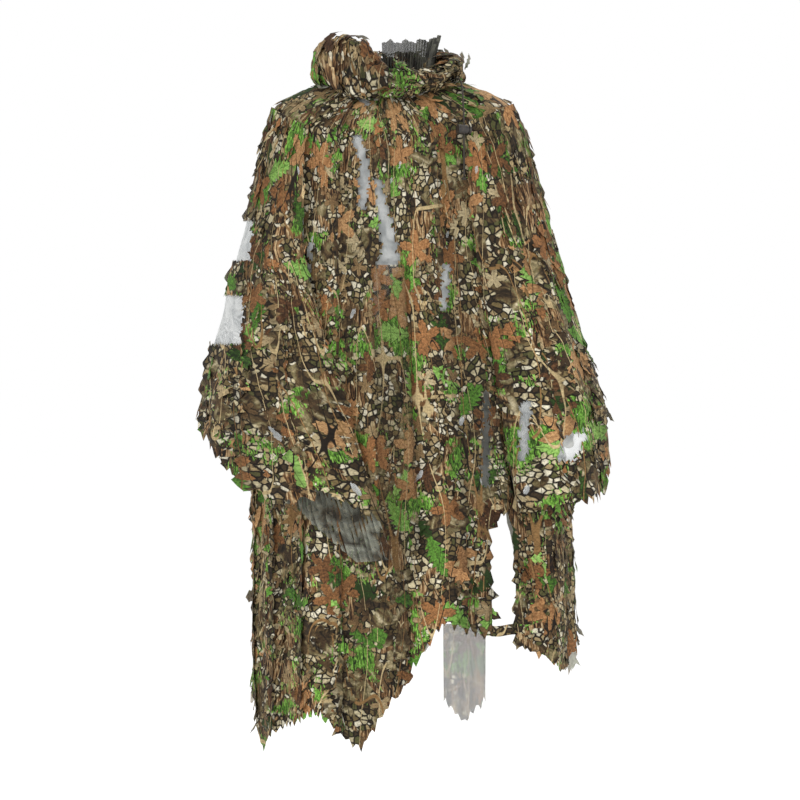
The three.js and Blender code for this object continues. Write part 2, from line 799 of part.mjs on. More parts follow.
addNetPanels();
addBodyStrips();
addShoulderCovers();
addSleeve('right', rightSleeve);
addSleeve('left', leftSleeve);
addFrontPlacket();
addNetTail();
addHemTape();
addHoodHalf('hood_right', -1);
addHoodHalf('hood_left', 1);
addHoodLining();
addNeckBand();
addDrawcord();

export default group;
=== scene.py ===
"""A hooded leaf-camouflage ghillie poncho, dressed in cloth, net and cut leaves.

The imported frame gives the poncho's pieces. Every cloth piece here lies on the same
drape as the frame's solids and replaces them; the cord lock keeps its own solids.
Metres throughout, +Z up, the front faces -Y and the wearer's left arm is on +X.
"""
import logging
import math
from dataclasses import dataclass, field
from enum import Enum
from typing import Callable, Sequence

import bpy
import numpy as np
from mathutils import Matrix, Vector


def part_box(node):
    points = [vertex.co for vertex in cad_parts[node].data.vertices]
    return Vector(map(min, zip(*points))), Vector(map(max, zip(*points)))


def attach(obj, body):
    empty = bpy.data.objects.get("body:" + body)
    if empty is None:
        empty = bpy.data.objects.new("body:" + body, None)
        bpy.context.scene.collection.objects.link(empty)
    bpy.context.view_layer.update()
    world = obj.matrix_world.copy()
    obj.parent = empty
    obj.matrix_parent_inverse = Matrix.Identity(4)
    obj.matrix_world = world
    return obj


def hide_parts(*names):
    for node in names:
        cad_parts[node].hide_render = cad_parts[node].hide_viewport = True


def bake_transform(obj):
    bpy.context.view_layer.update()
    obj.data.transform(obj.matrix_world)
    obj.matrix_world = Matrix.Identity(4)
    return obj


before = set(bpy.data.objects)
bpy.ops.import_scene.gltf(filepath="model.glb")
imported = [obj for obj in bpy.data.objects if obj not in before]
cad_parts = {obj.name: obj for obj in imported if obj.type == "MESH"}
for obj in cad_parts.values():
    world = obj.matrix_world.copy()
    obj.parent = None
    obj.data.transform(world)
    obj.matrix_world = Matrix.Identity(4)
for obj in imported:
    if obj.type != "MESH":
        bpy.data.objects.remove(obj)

log = logging.getLogger("poncho")
Array = np.ndarray


class Body(str, Enum):
    """The bodies of the frame that pieces ride on."""

    GARMENT = "garment"
    SLEEVE_RIGHT = "sleeve_right"
    SLEEVE_LEFT = "sleeve_left"
    PLACKET = "placket"
    TAIL = "tail"


class Held(str, Enum):
    """How a sheet of cloth is held."""

    HUNG = "hung"
    GATHERED = "gathered"


# ---- The drape ------------------------------------------------------------------------


@dataclass(frozen=True)
class Drape:
    """The surface that the netting hangs in, from the neck opening to the hem.

    A place on it is an index, counted in strip widths round from the centre front, and a
    level, counted in the sections below.
    """

    half_width: tuple[float, ...] = (
        0.090, 0.130, 0.168, 0.203, 0.211, 0.215, 0.222, 0.236, 0.252, 0.268, 0.272, 0.273, 0.274)
    half_depth: tuple[float, ...] = (
        0.078, 0.092, 0.106, 0.118, 0.129, 0.137, 0.145, 0.153, 0.162, 0.170, 0.174, 0.177, 0.180)
    side_z: tuple[float, ...] = (
        0.028, 0.016, 0.002, -0.018, -0.075, -0.155, -0.265, -0.400, -0.550, -0.700, -0.850,
        -0.990, -1.150)
    front_z: tuple[float, ...] = (
        -0.008, -0.028, -0.052, -0.080, -0.125, -0.185, -0.265, -0.400, -0.550, -0.700, -0.850,
        -0.990, -1.150)
    middle_x: tuple[float, ...] = (
        -0.015, -0.013, -0.010, -0.007, -0.004, 0.0, 0.004, 0.012, 0.020, 0.028, 0.031, 0.032,
        0.032)
    strips_round: int = 20
    shoulder_level: int = 3
    underarm_level: int = 6
    arc_evening: float = 5.2
    fold_depth: float = 0.0060

    def angle(self, index: Array) -> Array:
        """The angle from the centre front of places round the body, in radians."""
        even = np.radians(360 / self.strips_round * np.asarray(index, float))
        return even - math.radians(self.arc_evening) * np.sin(2 * even)

    def section(self, values: Sequence[float], level: Array) -> Array:
        """A section size at any level."""
        return np.interp(level, np.arange(len(values)), values)

    def face(self, index: Array, level: Array) -> Array:
        """Points on the drape.

        Args:
            index: places round the body.
            level: how far down they are.

        Returns:
            An array of points, one row each.
        """
        angle = self.angle(index)
        side = np.sin(angle) ** 2
        x = self.section(self.middle_x, level) + self.section(self.half_width, level) * np.sin(angle)
        y = -self.section(self.half_depth, level) * np.cos(angle)
        front = self.section(self.front_z, level)
        z = front + (self.section(self.side_z, level) - front) * side
        return np.stack([x, y, z], axis=-1)

    def normal(self, index: Array, level: Array) -> Array:
        """The outward directions at places on the drape.

        Args:
            index: places round the body.
            level: how far down they are.

        Returns:
            One unit vector for each place.
        """
        step = 0.2
        down = self.face(index, level + step) - self.face(index, np.maximum(level - step, 0))
        round_ = self.face(index + step, level) - self.face(index - step, level)
        out = np.cross(down, round_)
        return out / np.linalg.norm(out, axis=-1, keepdims=True)

    def folds(self, index: Array, level: Array) -> Array:
        """How far the cloth's soft hanging folds stand out at places on the drape.

        Args:
            index: places round the body.
            level: how far down they are.

        Returns:
            The distances, in metres.
        """
        wave = (np.sin(2.3 * index + 0.5 * np.sin(0.6 * level))
                + 0.7 * np.sin(4.3 * index + 1.3 + 0.3 * level)
                + 0.4 * np.sin(7.9 * index - 0.7 * level))
        return self.fold_depth * np.clip((level - self.shoulder_level) / 5, 0, 1) * wave

    def place(self, index: Array, level: Array, lift: Array) -> Array:
        """Points that stand out by a lift from the folded drape.

        Args:
            index: places round the body.
            level: how far down they are.
            lift: how far they stand out.

        Returns:
            An array of points, one row each.
        """
        index, level, lift = np.broadcast_arrays(
            np.asarray(index, float), np.asarray(level, float), np.asarray(lift, float))
        stand = lift + self.folds(index, level)
        return self.face(index, level) + self.normal(index, level) * stand[..., None]

    def drops(self) -> Array:
        """The cloth's length down the centre front to each section."""
        line = self.face(np.zeros(len(self.front_z)), np.arange(len(self.front_z)))
        return np.concatenate([[0], np.cumsum(np.linalg.norm(np.diff(line, axis=0), axis=1))])

    def drop_at_level(self, level: int) -> float:
        """The length of cloth from the neck down to a section."""
        return float(self.drops()[level])

    def level_at_drop(self, drop: Array) -> Array:
        """The level that a length of cloth down from the neck reaches."""
        return np.interp(drop, self.drops(), np.arange(len(self.front_z)))

    def drop_at_height(self, height: Array) -> Array:
        """The length of cloth from the neck down to a height at the front."""
        return np.interp(-np.asarray(height), -np.array(self.front_z), self.drops())


@dataclass(frozen=True)
class SleeveShape:
    """A bell sleeve's outline, laid against the drape's side.

    A place on it is counted in strips from its front edge and in the drape's levels.
    """

    side: int
    strips: int
    front_at_shoulder: float
    front_at_mouth: float
    back: float
    bulges: tuple[float, ...]
    mouth: tuple[float, ...]
    net_mouth: tuple[float, ...]
    last_level: int = 9
    seam_lift: float = 0.0028
    under_lift: float = 0.0078
    top_lift: float = 0.0106
    roundness: float = 0.8

    def index(self, across: Array, level: Array) -> Array:
        """The drape's index at places on the sleeve.

        Args:
            across: places in strips from its front edge.
            level: how far down they are.

        Returns:
            Places round the body.
        """
        share = np.asarray(across) / self.strips
        underarm = DRAPE.underarm_level
        down = np.clip((level - underarm) / (self.last_level - underarm), 0, None)
        front = self.front_at_shoulder + (self.front_at_mouth - self.front_at_shoulder) * down
        return self.side * (front + (self.back - front) * share)

    def bulge(self, across: Array, level: Array) -> Array:
        """How far the sleeve's outer wall stands out beyond the body at places on it.

        Args:
            across: places in strips from its front edge.
            level: how far down they are.

        Returns:
            The distances, in metres.
        """
        share = np.clip(np.asarray(across) / self.strips, 0, 1)
        below, places = level - DRAPE.shoulder_level, np.arange(len(self.bulges))
        out = np.interp(np.clip(below, 0, places[-1]), places, self.bulges)
        clear = self.seam_lift + (self.top_lift - self.seam_lift) * np.clip(below, 0, 1)
        return clear + out * np.sin(math.pi * share) ** self.roundness

    def mouth_height(self, across: Array, heights: Sequence[float]) -> Array:
        """The mouth's height at places round the sleeve."""
        share = np.clip(np.asarray(across) / self.strips, 0, 1)
        return np.interp(share * (len(heights) - 1), np.arange(len(heights)), heights)


DRAPE = Drape()
RIGHT_SLEEVE = SleeveShape(
    side=-1, strips=6, front_at_shoulder=2.52, front_at_mouth=0.55, back=7.5,
    bulges=(0, 0.004, 0.016, 0.040, 0.066, 0.090, 0.094),
    mouth=(-0.722, -0.672, -0.698, -0.650, -0.582, -0.562, -0.560, -0.575, -0.600),
    net_mouth=(-0.786, -0.792, -0.716, -0.690, -0.640, -0.600, -0.590, -0.590, -0.610))
LEFT_SLEEVE = SleeveShape(
    side=1, strips=5, front_at_shoulder=2.52, front_at_mouth=2.8, back=7.5,
    bulges=(0, 0.004, 0.014, 0.034, 0.052, 0.078, 0.066),
    mouth=(-0.704, -0.700, -0.696, -0.690, -0.640, -0.606, -0.600, -0.630, -0.650),
    net_mouth=(-0.690, -0.680, -0.676, -0.670, -0.620, -0.590, -0.590, -0.610, -0.630))

STRIP_WIDTH = 0.070
SHOULDER_SPACING = 0.045
HEM_HEIGHTS = (
    -0.975, -0.985, -1.050, -1.000, -1.070, -1.040, -1.128, -1.075, -1.050, -1.108, -1.000,
    -0.890, -0.915, -0.940, -0.985, -0.960, -1.000, -0.975, -0.700, -0.700, -0.975)
NET_HEM_INSET = 0.014
NET_HEM_REACH = (-0.30, -0.15, 0.0, 0.15, 0.30)
PRINT_LIFT = 0.0038
SEED = 828
Surface = Callable[[Array, Array, Array], Array]
Edge = Callable[[Array], Array]


@dataclass(frozen=True)
class Ripple:
    """One wave of a cloth's crumple: its height, and its turns down and across the cloth."""

    height: float
    down: float
    across: float
    start: float = 0.0


PRINT_CRUMPLE = (Ripple(0.0011, 61, 5), Ripple(0.0009, 143, 11), Ripple(0.0012, 23, 3))
PRINT_HEM = (Ripple(0.006, 0, 37), Ripple(0.004, 0, 71, 2))
NET_CRUMPLE = (Ripple(0.0008, 47, 4), Ripple(0.0006, 97, -9))
TAIL_HEM = (Ripple(0.006, 0, 43), Ripple(0.003, 0, 97))
HOOD_FOLDS = (Ripple(1, 92, 1.9), Ripple(0.7, 148, -2.7, 1), Ripple(0.6, 31, 5.3),
              Ripple(0.35, -60, 13))
LINING_TOP = (Ripple(0.003, 0, 5), Ripple(0.0015, 0, 11, 1))


def crumple(ripples: Sequence[Ripple], across: Array, drop: Array | float = 0.0) -> Array:
    """How far a few waves together stand out at places on a cloth."""
    return sum(ripple.height * np.sin(ripple.down * drop + ripple.across * across + ripple.start)
               for ripple in ripples)


def hem_height(index: Array) -> Array:
    """The ragged hem's height at places round the body."""
    half = DRAPE.strips_round / 2
    wrapped = np.mod(np.asarray(index, float) + half, DRAPE.strips_round) - half
    return np.interp(wrapped, np.arange(-half, half + 1), HEM_HEIGHTS)


def body_surface(across: Array, drop: Array, lift: Array) -> Array:
    """Points on the body at an index, a length down from the neck and a lift."""
    return DRAPE.place(across, DRAPE.level_at_drop(drop), lift)


def sleeve_surface(sleeve: SleeveShape) -> Surface:
    """The outer wall of a sleeve as a surface of strips across and lengths down.

    Args:
        sleeve: the sleeve's shape.

    Returns:
        A function from strips across, lengths down and lifts to points.
    """

    def surface(across: Array, drop: Array, lift: Array) -> Array:
        """Points on the sleeve's outer wall."""
        level = DRAPE.level_at_drop(drop)
        lift = lift + sleeve.bulge(across, level)
        return DRAPE.place(sleeve.index(across, level), level, lift)

    return surface


def sleeve_underside(sleeve: SleeveShape) -> Surface:
    """The inner wall of a sleeve as a surface of strips across and lengths down.

    Args:
        sleeve: the sleeve's shape.

    Returns:
        A function from strips across, lengths down and lifts to points.
    """

    def surface(across: Array, drop: Array, lift: Array) -> Array:
        """Points on the sleeve's inner wall."""
        level = DRAPE.level_at_drop(drop)
        return DRAPE.place(sleeve.index(across, level), level, lift + sleeve.under_lift)

    return surface


# ---- Meshes ---------------------------------------------------------------------------


def add_object(name: str, data: bpy.types.ID) -> bpy.types.Object:
    """Makes an object of a mesh, curve, camera or light, and links it to the scene."""
    piece = bpy.data.objects.new(name, data)
    bpy.context.collection.objects.link(piece)
    return piece


@dataclass
class MeshData:
    """A mesh being gathered: points, faces, and each point's place on the print roll."""

    points: list[Array] = field(default_factory=list)
    faces: list[Array] = field(default_factory=list)
    print_places: list[Array] = field(default_factory=list)
    shades: list[Array] = field(default_factory=list)
    count: int = 0

    def add(self, points: Array, faces: Array, places: Array, shades: Array) -> None:
        """Adds one connected patch.

        Args:
            points: its points.
            faces: its faces, as rows of point numbers.
            places: where each point lies on the print roll, in metres.
            shades: each point's random tone times its painted shade, about 1.
        """
        self.points.append(points)
        self.faces.append(faces + self.count)
        self.print_places.append(places)
        self.shades.append(shades)
        self.count += len(points)

    def build(self, name: str, material: bpy.types.Material, turned: bool = False
              ) -> bpy.types.Object:
        """Makes the object.

        Args:
            name: the piece's name.
            material: its finish.
            turned: whether its faces are turned over.

        Returns:
            The new object, linked to the scene.
        """
        points = np.concatenate(self.points)
        faces = np.concatenate(self.faces)
        faces = faces[:, ::-1] if turned else faces
        mesh = bpy.data.meshes.new(name)
        mesh.from_pydata(points.tolist(), [], faces.tolist())
        loops = np.empty(len(mesh.loops), dtype=np.int32)
        mesh.loops.foreach_get("vertex_index", loops)
        layer = mesh.uv_layers.new(name="PrintRoll")
        layer.data.foreach_set("uv", np.concatenate(self.print_places)[loops].ravel())
        # The shade attribute holds each point's random tone times its painted shade.
        shade = mesh.attributes.new("shade", "FLOAT", "POINT")
        shade.data.foreach_set("value", np.concatenate(self.shades).astype(np.float32))
        mesh.shade_smooth()
        mesh.materials.append(material)
        mesh.validate()
        return add_object(name, mesh)


def grid_faces(rows: int, columns: int, keep: Array | None = None) -> Array:
    """The faces of a grid of points.

    Args:
        rows: steps down.
        columns: steps across.
        keep: a mask of the faces that are kept, or None for all.

    Returns:
        One row of four point numbers for each face.
    """
    corner = np.arange((rows + 1) * (columns + 1)).reshape(rows + 1, columns + 1)
    faces = np.stack([corner[:-1, :-1], corner[1:, :-1], corner[1:, 1:], corner[:-1, 1:]], axis=-1)
    return (faces if keep is None else faces[keep]).reshape(-1, 4)


def roll_places(across: Array, drop: Array) -> Array:
    """One row for each point of a grid: its place on the print roll, in metres."""
    return np.stack(np.broadcast_arrays(across, drop), axis=-1).reshape(-1, 2)


def sheet_object(name: str, points: Array, places: Array, shades: Array | float,
                 material: bpy.types.Material, turned: bool = False) -> bpy.types.Object:
    """Makes an object of one whole grid of points.

    Args:
        name: the piece's name.
        points: the grid, by rows and columns.
        places: where each point lies on the print roll.
        shades: each point's random tone times its painted shade, about 1.
        material: its finish.
        turned: whether its faces are turned over.

    Returns:
        The new object.
    """
    rows, columns = points.shape[0] - 1, points.shape[1] - 1
    data = MeshData()
    data.add(points.reshape(-1, 3), grid_faces(rows, columns), places,
             np.broadcast_to(shades, points.shape[:2]).ravel())
    return data.build(name, material, turned)


def drop_unused(points: Array, faces: Array, *values: Array) -> tuple[Array, ...]:
    """Leaves out the points that no face uses, with their values."""
    used, numbers = np.unique(faces, return_inverse=True)
    return (points[used], numbers.reshape(faces.shape), *[value[used] for value in values])


@dataclass(frozen=True)
class Opening:
    """A place where no print is sewn, so that the netting shows.

    Its two edges are given as x values at the heights z.
    """

    z: tuple[float, ...]
    left: tuple[float, ...]
    right: tuple[float, ...]
    ragged: float = 0.004

    def covers(self, centres: Array, margin: float = 0.0) -> Array:
        """Which of some points lie in the opening, or within a margin of it.

        Args:
            centres: the points.
            margin: how far outside it counts.

        Returns:
            A mask over the points.
        """
        x, z = centres[..., 0], centres[..., 2]
        rag = self.ragged * (np.sin(z * 310) * 0.6 + np.sin(z * 710 + 1) * 0.4)
        left, right = np.interp(z, self.z, self.left), np.interp(z, self.z, self.right)
        beside = (x > left + rag - margin) & (x < right + rag + margin)
        return beside & (z > self.z[0] - margin) & (z < self.z[-1] + margin)


TOOTH_LENGTHS = (0.010, 0.032)
TOOTH_SLANT = 0.68


def teeth(rng: np.random.Generator, drop: Array, deepest: float) -> Array:
    """The leaf-cut outline of a strip's edge.

    Args:
        rng: the source of chance.
        drop: lengths down the edge.
        deepest: how far the deepest tooth reaches out.

    Returns:
        How far the edge reaches out at each length.
    """
    cuts = [float(drop.min())]
    while cuts[-1] < drop.max():
        cuts.append(cuts[-1] + rng.uniform(*TOOTH_LENGTHS))
    tips = rng.uniform(0.15, 1, len(cuts)) ** 1.6 * deepest
    number = np.clip(np.searchsorted(cuts, drop, side="right") - 1, 0, len(cuts) - 2)
    start, end = np.array(cuts)[number], np.array(cuts)[number + 1]
    share = (drop - start) / (end - start)
    fall = (1 - share) / (1 - TOOTH_SLANT)
    return tips[number] * np.where(share < TOOTH_SLANT, share / TOOTH_SLANT, fall)


@dataclass
class Strip:
    """A leaf-cut printed strip of cloth.

    Attributes:
        node: the frame's node that it replaces.
        surface: the surface that it is sewn on.
        left: its left edge's place across, at lengths down.
        right: its right edge's place across.
        top: the length down at which it starts.
        end: the length down at which it ends, across it.
        spacing: the strip's width in metres for one step across.
        lift: how far it stands out from the surface.
        openings: places where it is cut away.
        bare: places where no leaf is cut loose.
        overlap: how far its edges reach past their places.
        cell: its mesh's spacing down.
        tooth: how far its deepest tooth reaches out.
        curl: how far its edges curl out.
        columns: its mesh's faces across.
        edge_share: how many edge bands fit across it; its teeth and curl reach one band in.
        turned: whether its faces are turned over.
        fold_shade: how much painted shade darkens its cloth down in a fold and lightens it on a crest.
        roll_offset: where it was cut from the print roll, drawn when it is built.
    """

    node: str
    surface: Surface
    left: Edge
    right: Edge
    top: float
    end: Edge
    spacing: float = STRIP_WIDTH
    lift: float = PRINT_LIFT
    overlap: float = 0.005
    openings: tuple[Opening, ...] = ()
    bare: tuple[Opening, ...] = ()
    cell: float = 0.0065
    tooth: float = 0.013
    curl: float = 0.007
    columns: int = 12
    edge_share: float = 4.5
    turned: bool = False
    fold_shade: float = 26.0
    roll_offset: Array = field(init=False)

    def bottom(self) -> float:
        """The length down to its end, halfway across."""
        top = np.array([self.top])
        return float(self.end((self.left(top) + self.right(top)) / 2)[0])

    def cut_size(self) -> tuple[float, float]:
        """The width with its teeth, and the length, that it was cut to."""
        top = np.array([self.top])
        width = float((self.right(top) - self.left(top))[0]) * self.spacing + 2 * self.tooth
        return width, self.bottom() - self.top

    def build(self, rng: np.random.Generator, material: bpy.types.Material) -> bpy.types.Object:
        """Makes the strip's cloth with its leaf-cut edges.

        Args:
            rng: the source of chance.
            material: its finish.

        Returns:
            The strip.
        """
        fineness = 2 if self.openings else 1
        length = self.bottom() - self.top
        columns, rows = self.columns * fineness, max(4, int(length / self.cell * fineness))
        down = np.linspace(0, 1, rows + 1)[:, None]
        across = np.linspace(0, 1, columns + 1)[None, :]
        rough = self.top + length * down
        left, right = self.left(rough), self.right(rough)
        place = left + (right - left) * across
        hem = np.maximum(self.end(place) + crumple(PRINT_HEM, place), self.top + 0.02)
        drop = self.top + (hem - self.top) * down
        reach_left, reach_right = (teeth(rng, rough[:, 0], self.tooth)[:, None] + self.overlap
                                   for _ in range(2))
        near = np.clip(1 - across * self.edge_share, 0, 1)
        far = np.clip(1 - (1 - across) * self.edge_share, 0, 1)
        place = place + (far * reach_right - near * reach_left) / self.spacing
        curl = self.curl * (near ** 2 * reach_left + far ** 2 * reach_right) / self.tooth
        shingle = 0.0025 * across
        lift = self.lift + crumple(PRINT_CRUMPLE, place, drop) + curl + shingle
        points = self.surface(place, drop, lift)
        keep = np.ones((rows, columns), bool)
        centres = (points[:-1, :-1] + points[1:, 1:]) / 2
        for opening in self.openings:
            keep &= ~opening.covers(centres)
        self.roll_offset = rng.uniform(0, 3, 2)
        places = roll_places(place * self.spacing, drop) + self.roll_offset
        # Painted shade: the cloth is darker towards its edges, where the gaps between strips lie in
        # shadow, and below it darker in the drape's folds and lighter on their crests; the random
        # factor is the strip's own tone.
        shade = rng.uniform(0.93, 1.07) * (1 - 0.5 * (0.6 * near ** 2 + far ** 2))
        fold = DRAPE.folds(place, DRAPE.level_at_drop(drop))
        shade = shade * (1 + self.fold_shade * np.clip(fold, -0.008, 0.008))
        data = MeshData()
        data.add(*drop_unused(points.reshape(-1, 3), grid_faces(rows, columns, keep), places,
                              shade.ravel()))
        return data.build("print_" + self.node, material, self.turned)


@dataclass
class LeafCutter:
    """Cuts the loose leaves that stand up from the printed strips.

    Attributes:
        rng: the source of chance.
        shortest: the shortest leaf.
        longest: the longest leaf.
        pitch: the distance between leaves.
        stand: how far the tallest tips stand out.
        proud: how much further the few proudest tips stand out.
        proud_share: how many of the leaves are as proud as that.
        clearance: how far they keep from openings.
        past_hem: how far they may hang past the hem.
        margin: how far their roots keep from a strip's top and end.
        steps: a leaf's faces along it.
    """

    rng: np.random.Generator
    shortest: float = 0.022
    longest: float = 0.052
    pitch: float = 0.034
    stand: float = 0.012
    proud: float = 1.9
    proud_share: float = 0.14
    clearance: float = 0.005
    past_hem: float = 0.016
    margin: float = 0.01
    steps: int = 8

    def leaf(self, data: MeshData, surface: Surface, root: tuple[float, float], spacing: float,
             lift: float, turn: float, offset: Array, scale: float = 1.0) -> None:
        """Adds one leaf.

        Args:
            data: the mesh that it joins.
            surface: the surface that it grows from.
            root: its root's place across and length down.
            spacing: metres for one step across.
            lift: how far its root stands out.
            turn: which way it points, in radians from straight down.
            offset: the strip's place on the print roll.
            scale: its size against the usual.
        """
        length = self.rng.uniform(self.shortest, self.longest) * scale
        width = length * self.rng.uniform(0.20, 0.34)
        along = np.linspace(0, 1, self.steps + 1)
        lobe = np.where(np.arange(self.steps + 1) % 2 == 0, 1.0, self.rng.uniform(0.45, 0.7))
        half = width * np.sin(np.pi * along ** 0.8) ** 0.7 * lobe
        half[0] = width * 0.35
        half[-1] = 0.0002
        proud = self.proud if self.rng.uniform() < self.proud_share else 1.0
        height = self.rng.uniform(0.25, 1) ** 1.3 * self.stand * scale * proud
        rise = lift + 0.0008 + height * along ** 1.5 - 0.3 * height * np.clip(along - 0.7, 0, 1)
        cup = self.rng.uniform(-0.25, 0.35)
        side = np.array([-1.0, 0.0, 1.0])[None, :] * half[:, None]
        forward = (along * length)[:, None]
        place = root[0] + (side * math.cos(turn) + forward * math.sin(turn)) / spacing
        drop = root[1] + (forward * math.cos(turn) - side * math.sin(turn))
        points = surface(place, drop, rise[:, None] + cup * np.abs(side)).reshape(-1, 3)
        places = roll_places(place * spacing, drop) + offset + self.rng.uniform(-0.02, 0.02, 2)
        # Painted shade: each leaf is darker at its root against the strip and lighter towards its tip;
        # the random factor is the leaf's own tone.
        shade = self.rng.uniform(0.86, 1.14) * (0.82 + 0.25 * along)
        data.add(points, grid_faces(self.steps, 2), places, np.repeat(shade, 3))

    def crosses(self, strip: Strip, place: float, drop: float, turn: float) -> bool:
        """Whether a leaf that starts at a place would hang over an opening or past the hem.

        Args:
            strip: the strip that it is cut on.
            place: its root across.
            drop: its root down.
            turn: its lean from straight down, in radians.

        Returns:
            Whether it does.
        """
        along = np.linspace(0, self.longest, 4)
        places = place + along * math.sin(turn) / strip.spacing
        drops = drop + along * math.cos(turn)
        if (drops > strip.end(places) + self.past_hem).any():
            return True
        points = strip.surface(places, drops, np.full(4, strip.lift))
        free = (*strip.openings, *strip.bare)
        return any(opening.covers(points, self.clearance).any() for opening in free)

    def cover(self, data: MeshData, strip: Strip) -> None:
        """Covers a strip with leaves.

        Args:
            data: the mesh that they join.
            strip: the strip that they are cut from.
        """
        drop = strip.top + self.margin
        while drop < strip.bottom() - self.margin:
            left = float(strip.left(np.array(drop)))
            right = float(strip.right(np.array(drop)))
            count = max(1, round((right - left) * strip.spacing / self.pitch))
            for number in range(count):
                share = (number + self.rng.uniform(0.1, 0.9)) / count
                place = left + (right - left) * share
                here = drop + self.rng.uniform(-0.5, 0.5) * self.pitch
                toward = (share - 0.5) * 1.5 + self.rng.normal(0, 0.55)
                if self.crosses(strip, place, here, toward):
                    continue
                self.leaf(data, strip.surface, (place, here), strip.spacing, strip.lift, toward,
                          strip.roll_offset)
            drop += self.pitch


# ---- Finishes -------------------------------------------------------------------------


class Graph:
    """Places and links shader nodes in a tree."""

    def __init__(self, tree: bpy.types.NodeTree) -> None:
        """Starts on a tree."""
        self.tree = tree

    def node(self, kind: str, inputs: dict | None = None, **settings: object) -> bpy.types.Node:
        """Adds a node.

        Args:
            kind: the node's type.
            inputs: values or sockets for its inputs, by name or number.
            settings: its other settings.

        Returns:
            The new node.
        """
        made = self.tree.nodes.new(kind)
        for name, value in settings.items():
            setattr(made, name, value)
        self.feed(made, inputs or {})
        return made

    def feed(self, node: bpy.types.Node, inputs: dict) -> None:
        """Links a node's inputs to the sockets given, and sets plain values on the others.

        Args:
            node: the node.
            inputs: sockets and values, by the inputs they go to.
        """
        for name, value in inputs.items():
            if isinstance(value, bpy.types.NodeSocket):
                self.tree.links.new(value, node.inputs[name])
            else:
                node.inputs[name].default_value = value

    def math(self, operation: str, first: object, second: object = 0.0, third: object = 0.0,
             clamp: bool = False) -> bpy.types.NodeSocket:
        """A math node's result."""
        inputs = {0: first, 1: second, 2: third}
        return self.node("ShaderNodeMath", inputs, operation=operation, use_clamp=clamp).outputs[0]

    def vector(self, operation: str, first: object, second: object) -> bpy.types.NodeSocket:
        """A vector math node's vector."""
        made = self.node("ShaderNodeVectorMath", {0: first, 1: second}, operation=operation)
        return made.outputs[0]

    def grey(self, value: object) -> bpy.types.NodeSocket:
        """A grey of a lightness."""
        return self.node("ShaderNodeCombineColor", {0: value, 1: value, 2: value}).outputs[0]

    def ramp(self, value: object, low: float, high: float) -> bpy.types.NodeSocket:
        """A smooth rise from 0 at low to 1 at high."""
        made = self.node("ShaderNodeMapRange", {"Value": value, "From Min": low, "From Max": high},
                         interpolation_type="SMOOTHSTEP")
        return made.outputs[0]

    def noise(self, vector: object, scale: float, detail: float = 3.0,
              distortion: float = 0.0) -> bpy.types.Node:
        """A noise texture."""
        inputs = {"Vector": vector, "Scale": scale, "Detail": detail, "Distortion": distortion}
        return self.node("ShaderNodeTexNoise", inputs)

    def cells(self, vector: object, scale: float, feature: str = "F1",
              randomness: float = 1.0) -> bpy.types.Node:
        """A flat Voronoi texture."""
        inputs = {"Vector": vector, "Scale": scale, "Randomness": randomness}
        return self.node("ShaderNodeTexVoronoi", inputs, feature=feature, voronoi_dimensions="2D")

    def mix(self, share: object, under: object, over: object,
            blend: str = "MIX") -> bpy.types.NodeSocket:
        """Two colours mixed."""
        made = self.node("ShaderNodeMix", {0: share, 6: under, 7: over}, data_type="RGBA",
                         blend_type=blend)
        return made.outputs[2]

    def colours(self, value: object, stops: Sequence[tuple[float, tuple[float, ...]]],
                stepped: bool = False) -> bpy.types.NodeSocket:
        """A colour ramp over stops of place and colour.

        Args:
            value: what the ramp runs over.
            stops: places from 0 to 1, each with its colour.
            stepped: whether a colour holds up to the next stop.

        Returns:
            The colour.
        """
        made = self.node("ShaderNodeValToRGB", {0: value})
        ramp = made.color_ramp
        ramp.interpolation = "CONSTANT" if stepped else "LINEAR"
        while len(ramp.elements) < len(stops):
            ramp.elements.new(0.5)
        for element, (place, colour) in zip(ramp.elements, stops):
            element.position = place
            element.color = (*colour, 1.0)
        return made.outputs[0]


def paint(red: int, green: int, blue: int) -> tuple[float, float, float]:
    """A colour's linear values from its usual 0 to 255 ones."""
    return tuple(((part / 255 + 0.055) / 1.055) ** 2.4 if part > 10 else part / 3295
                 for part in (red, green, blue))


def solid(colour: tuple[float, float, float]) -> tuple[float, float, float, float]:
    """A colour with full alpha."""
    return (*colour, 1.0)


def new_group(name: str, inputs: dict[str, float], outputs: dict[str, str]
              ) -> tuple[bpy.types.NodeTree, Graph, bpy.types.Node, bpy.types.Node]:
    """Makes an empty shader group.

    Args:
        name: its name.
        inputs: its numbers, with their usual values; "Place" is always a vector.
        outputs: its outputs and their socket types.

    Returns:
        The group, a graph on it, its input node and its output node.
    """
    group = bpy.data.node_groups.new(name, "ShaderNodeTree")
    group.interface.new_socket("Place", in_out="INPUT", socket_type="NodeSocketVector")
    for label, value in inputs.items():
        socket = group.interface.new_socket(label, in_out="INPUT", socket_type="NodeSocketFloat")
        socket.default_value = value
    for label, kind in outputs.items():
        group.interface.new_socket(label, in_out="OUTPUT", socket_type=kind)
    graph = Graph(group)
    return group, graph, graph.node("NodeGroupInput"), graph.node("NodeGroupOutput")


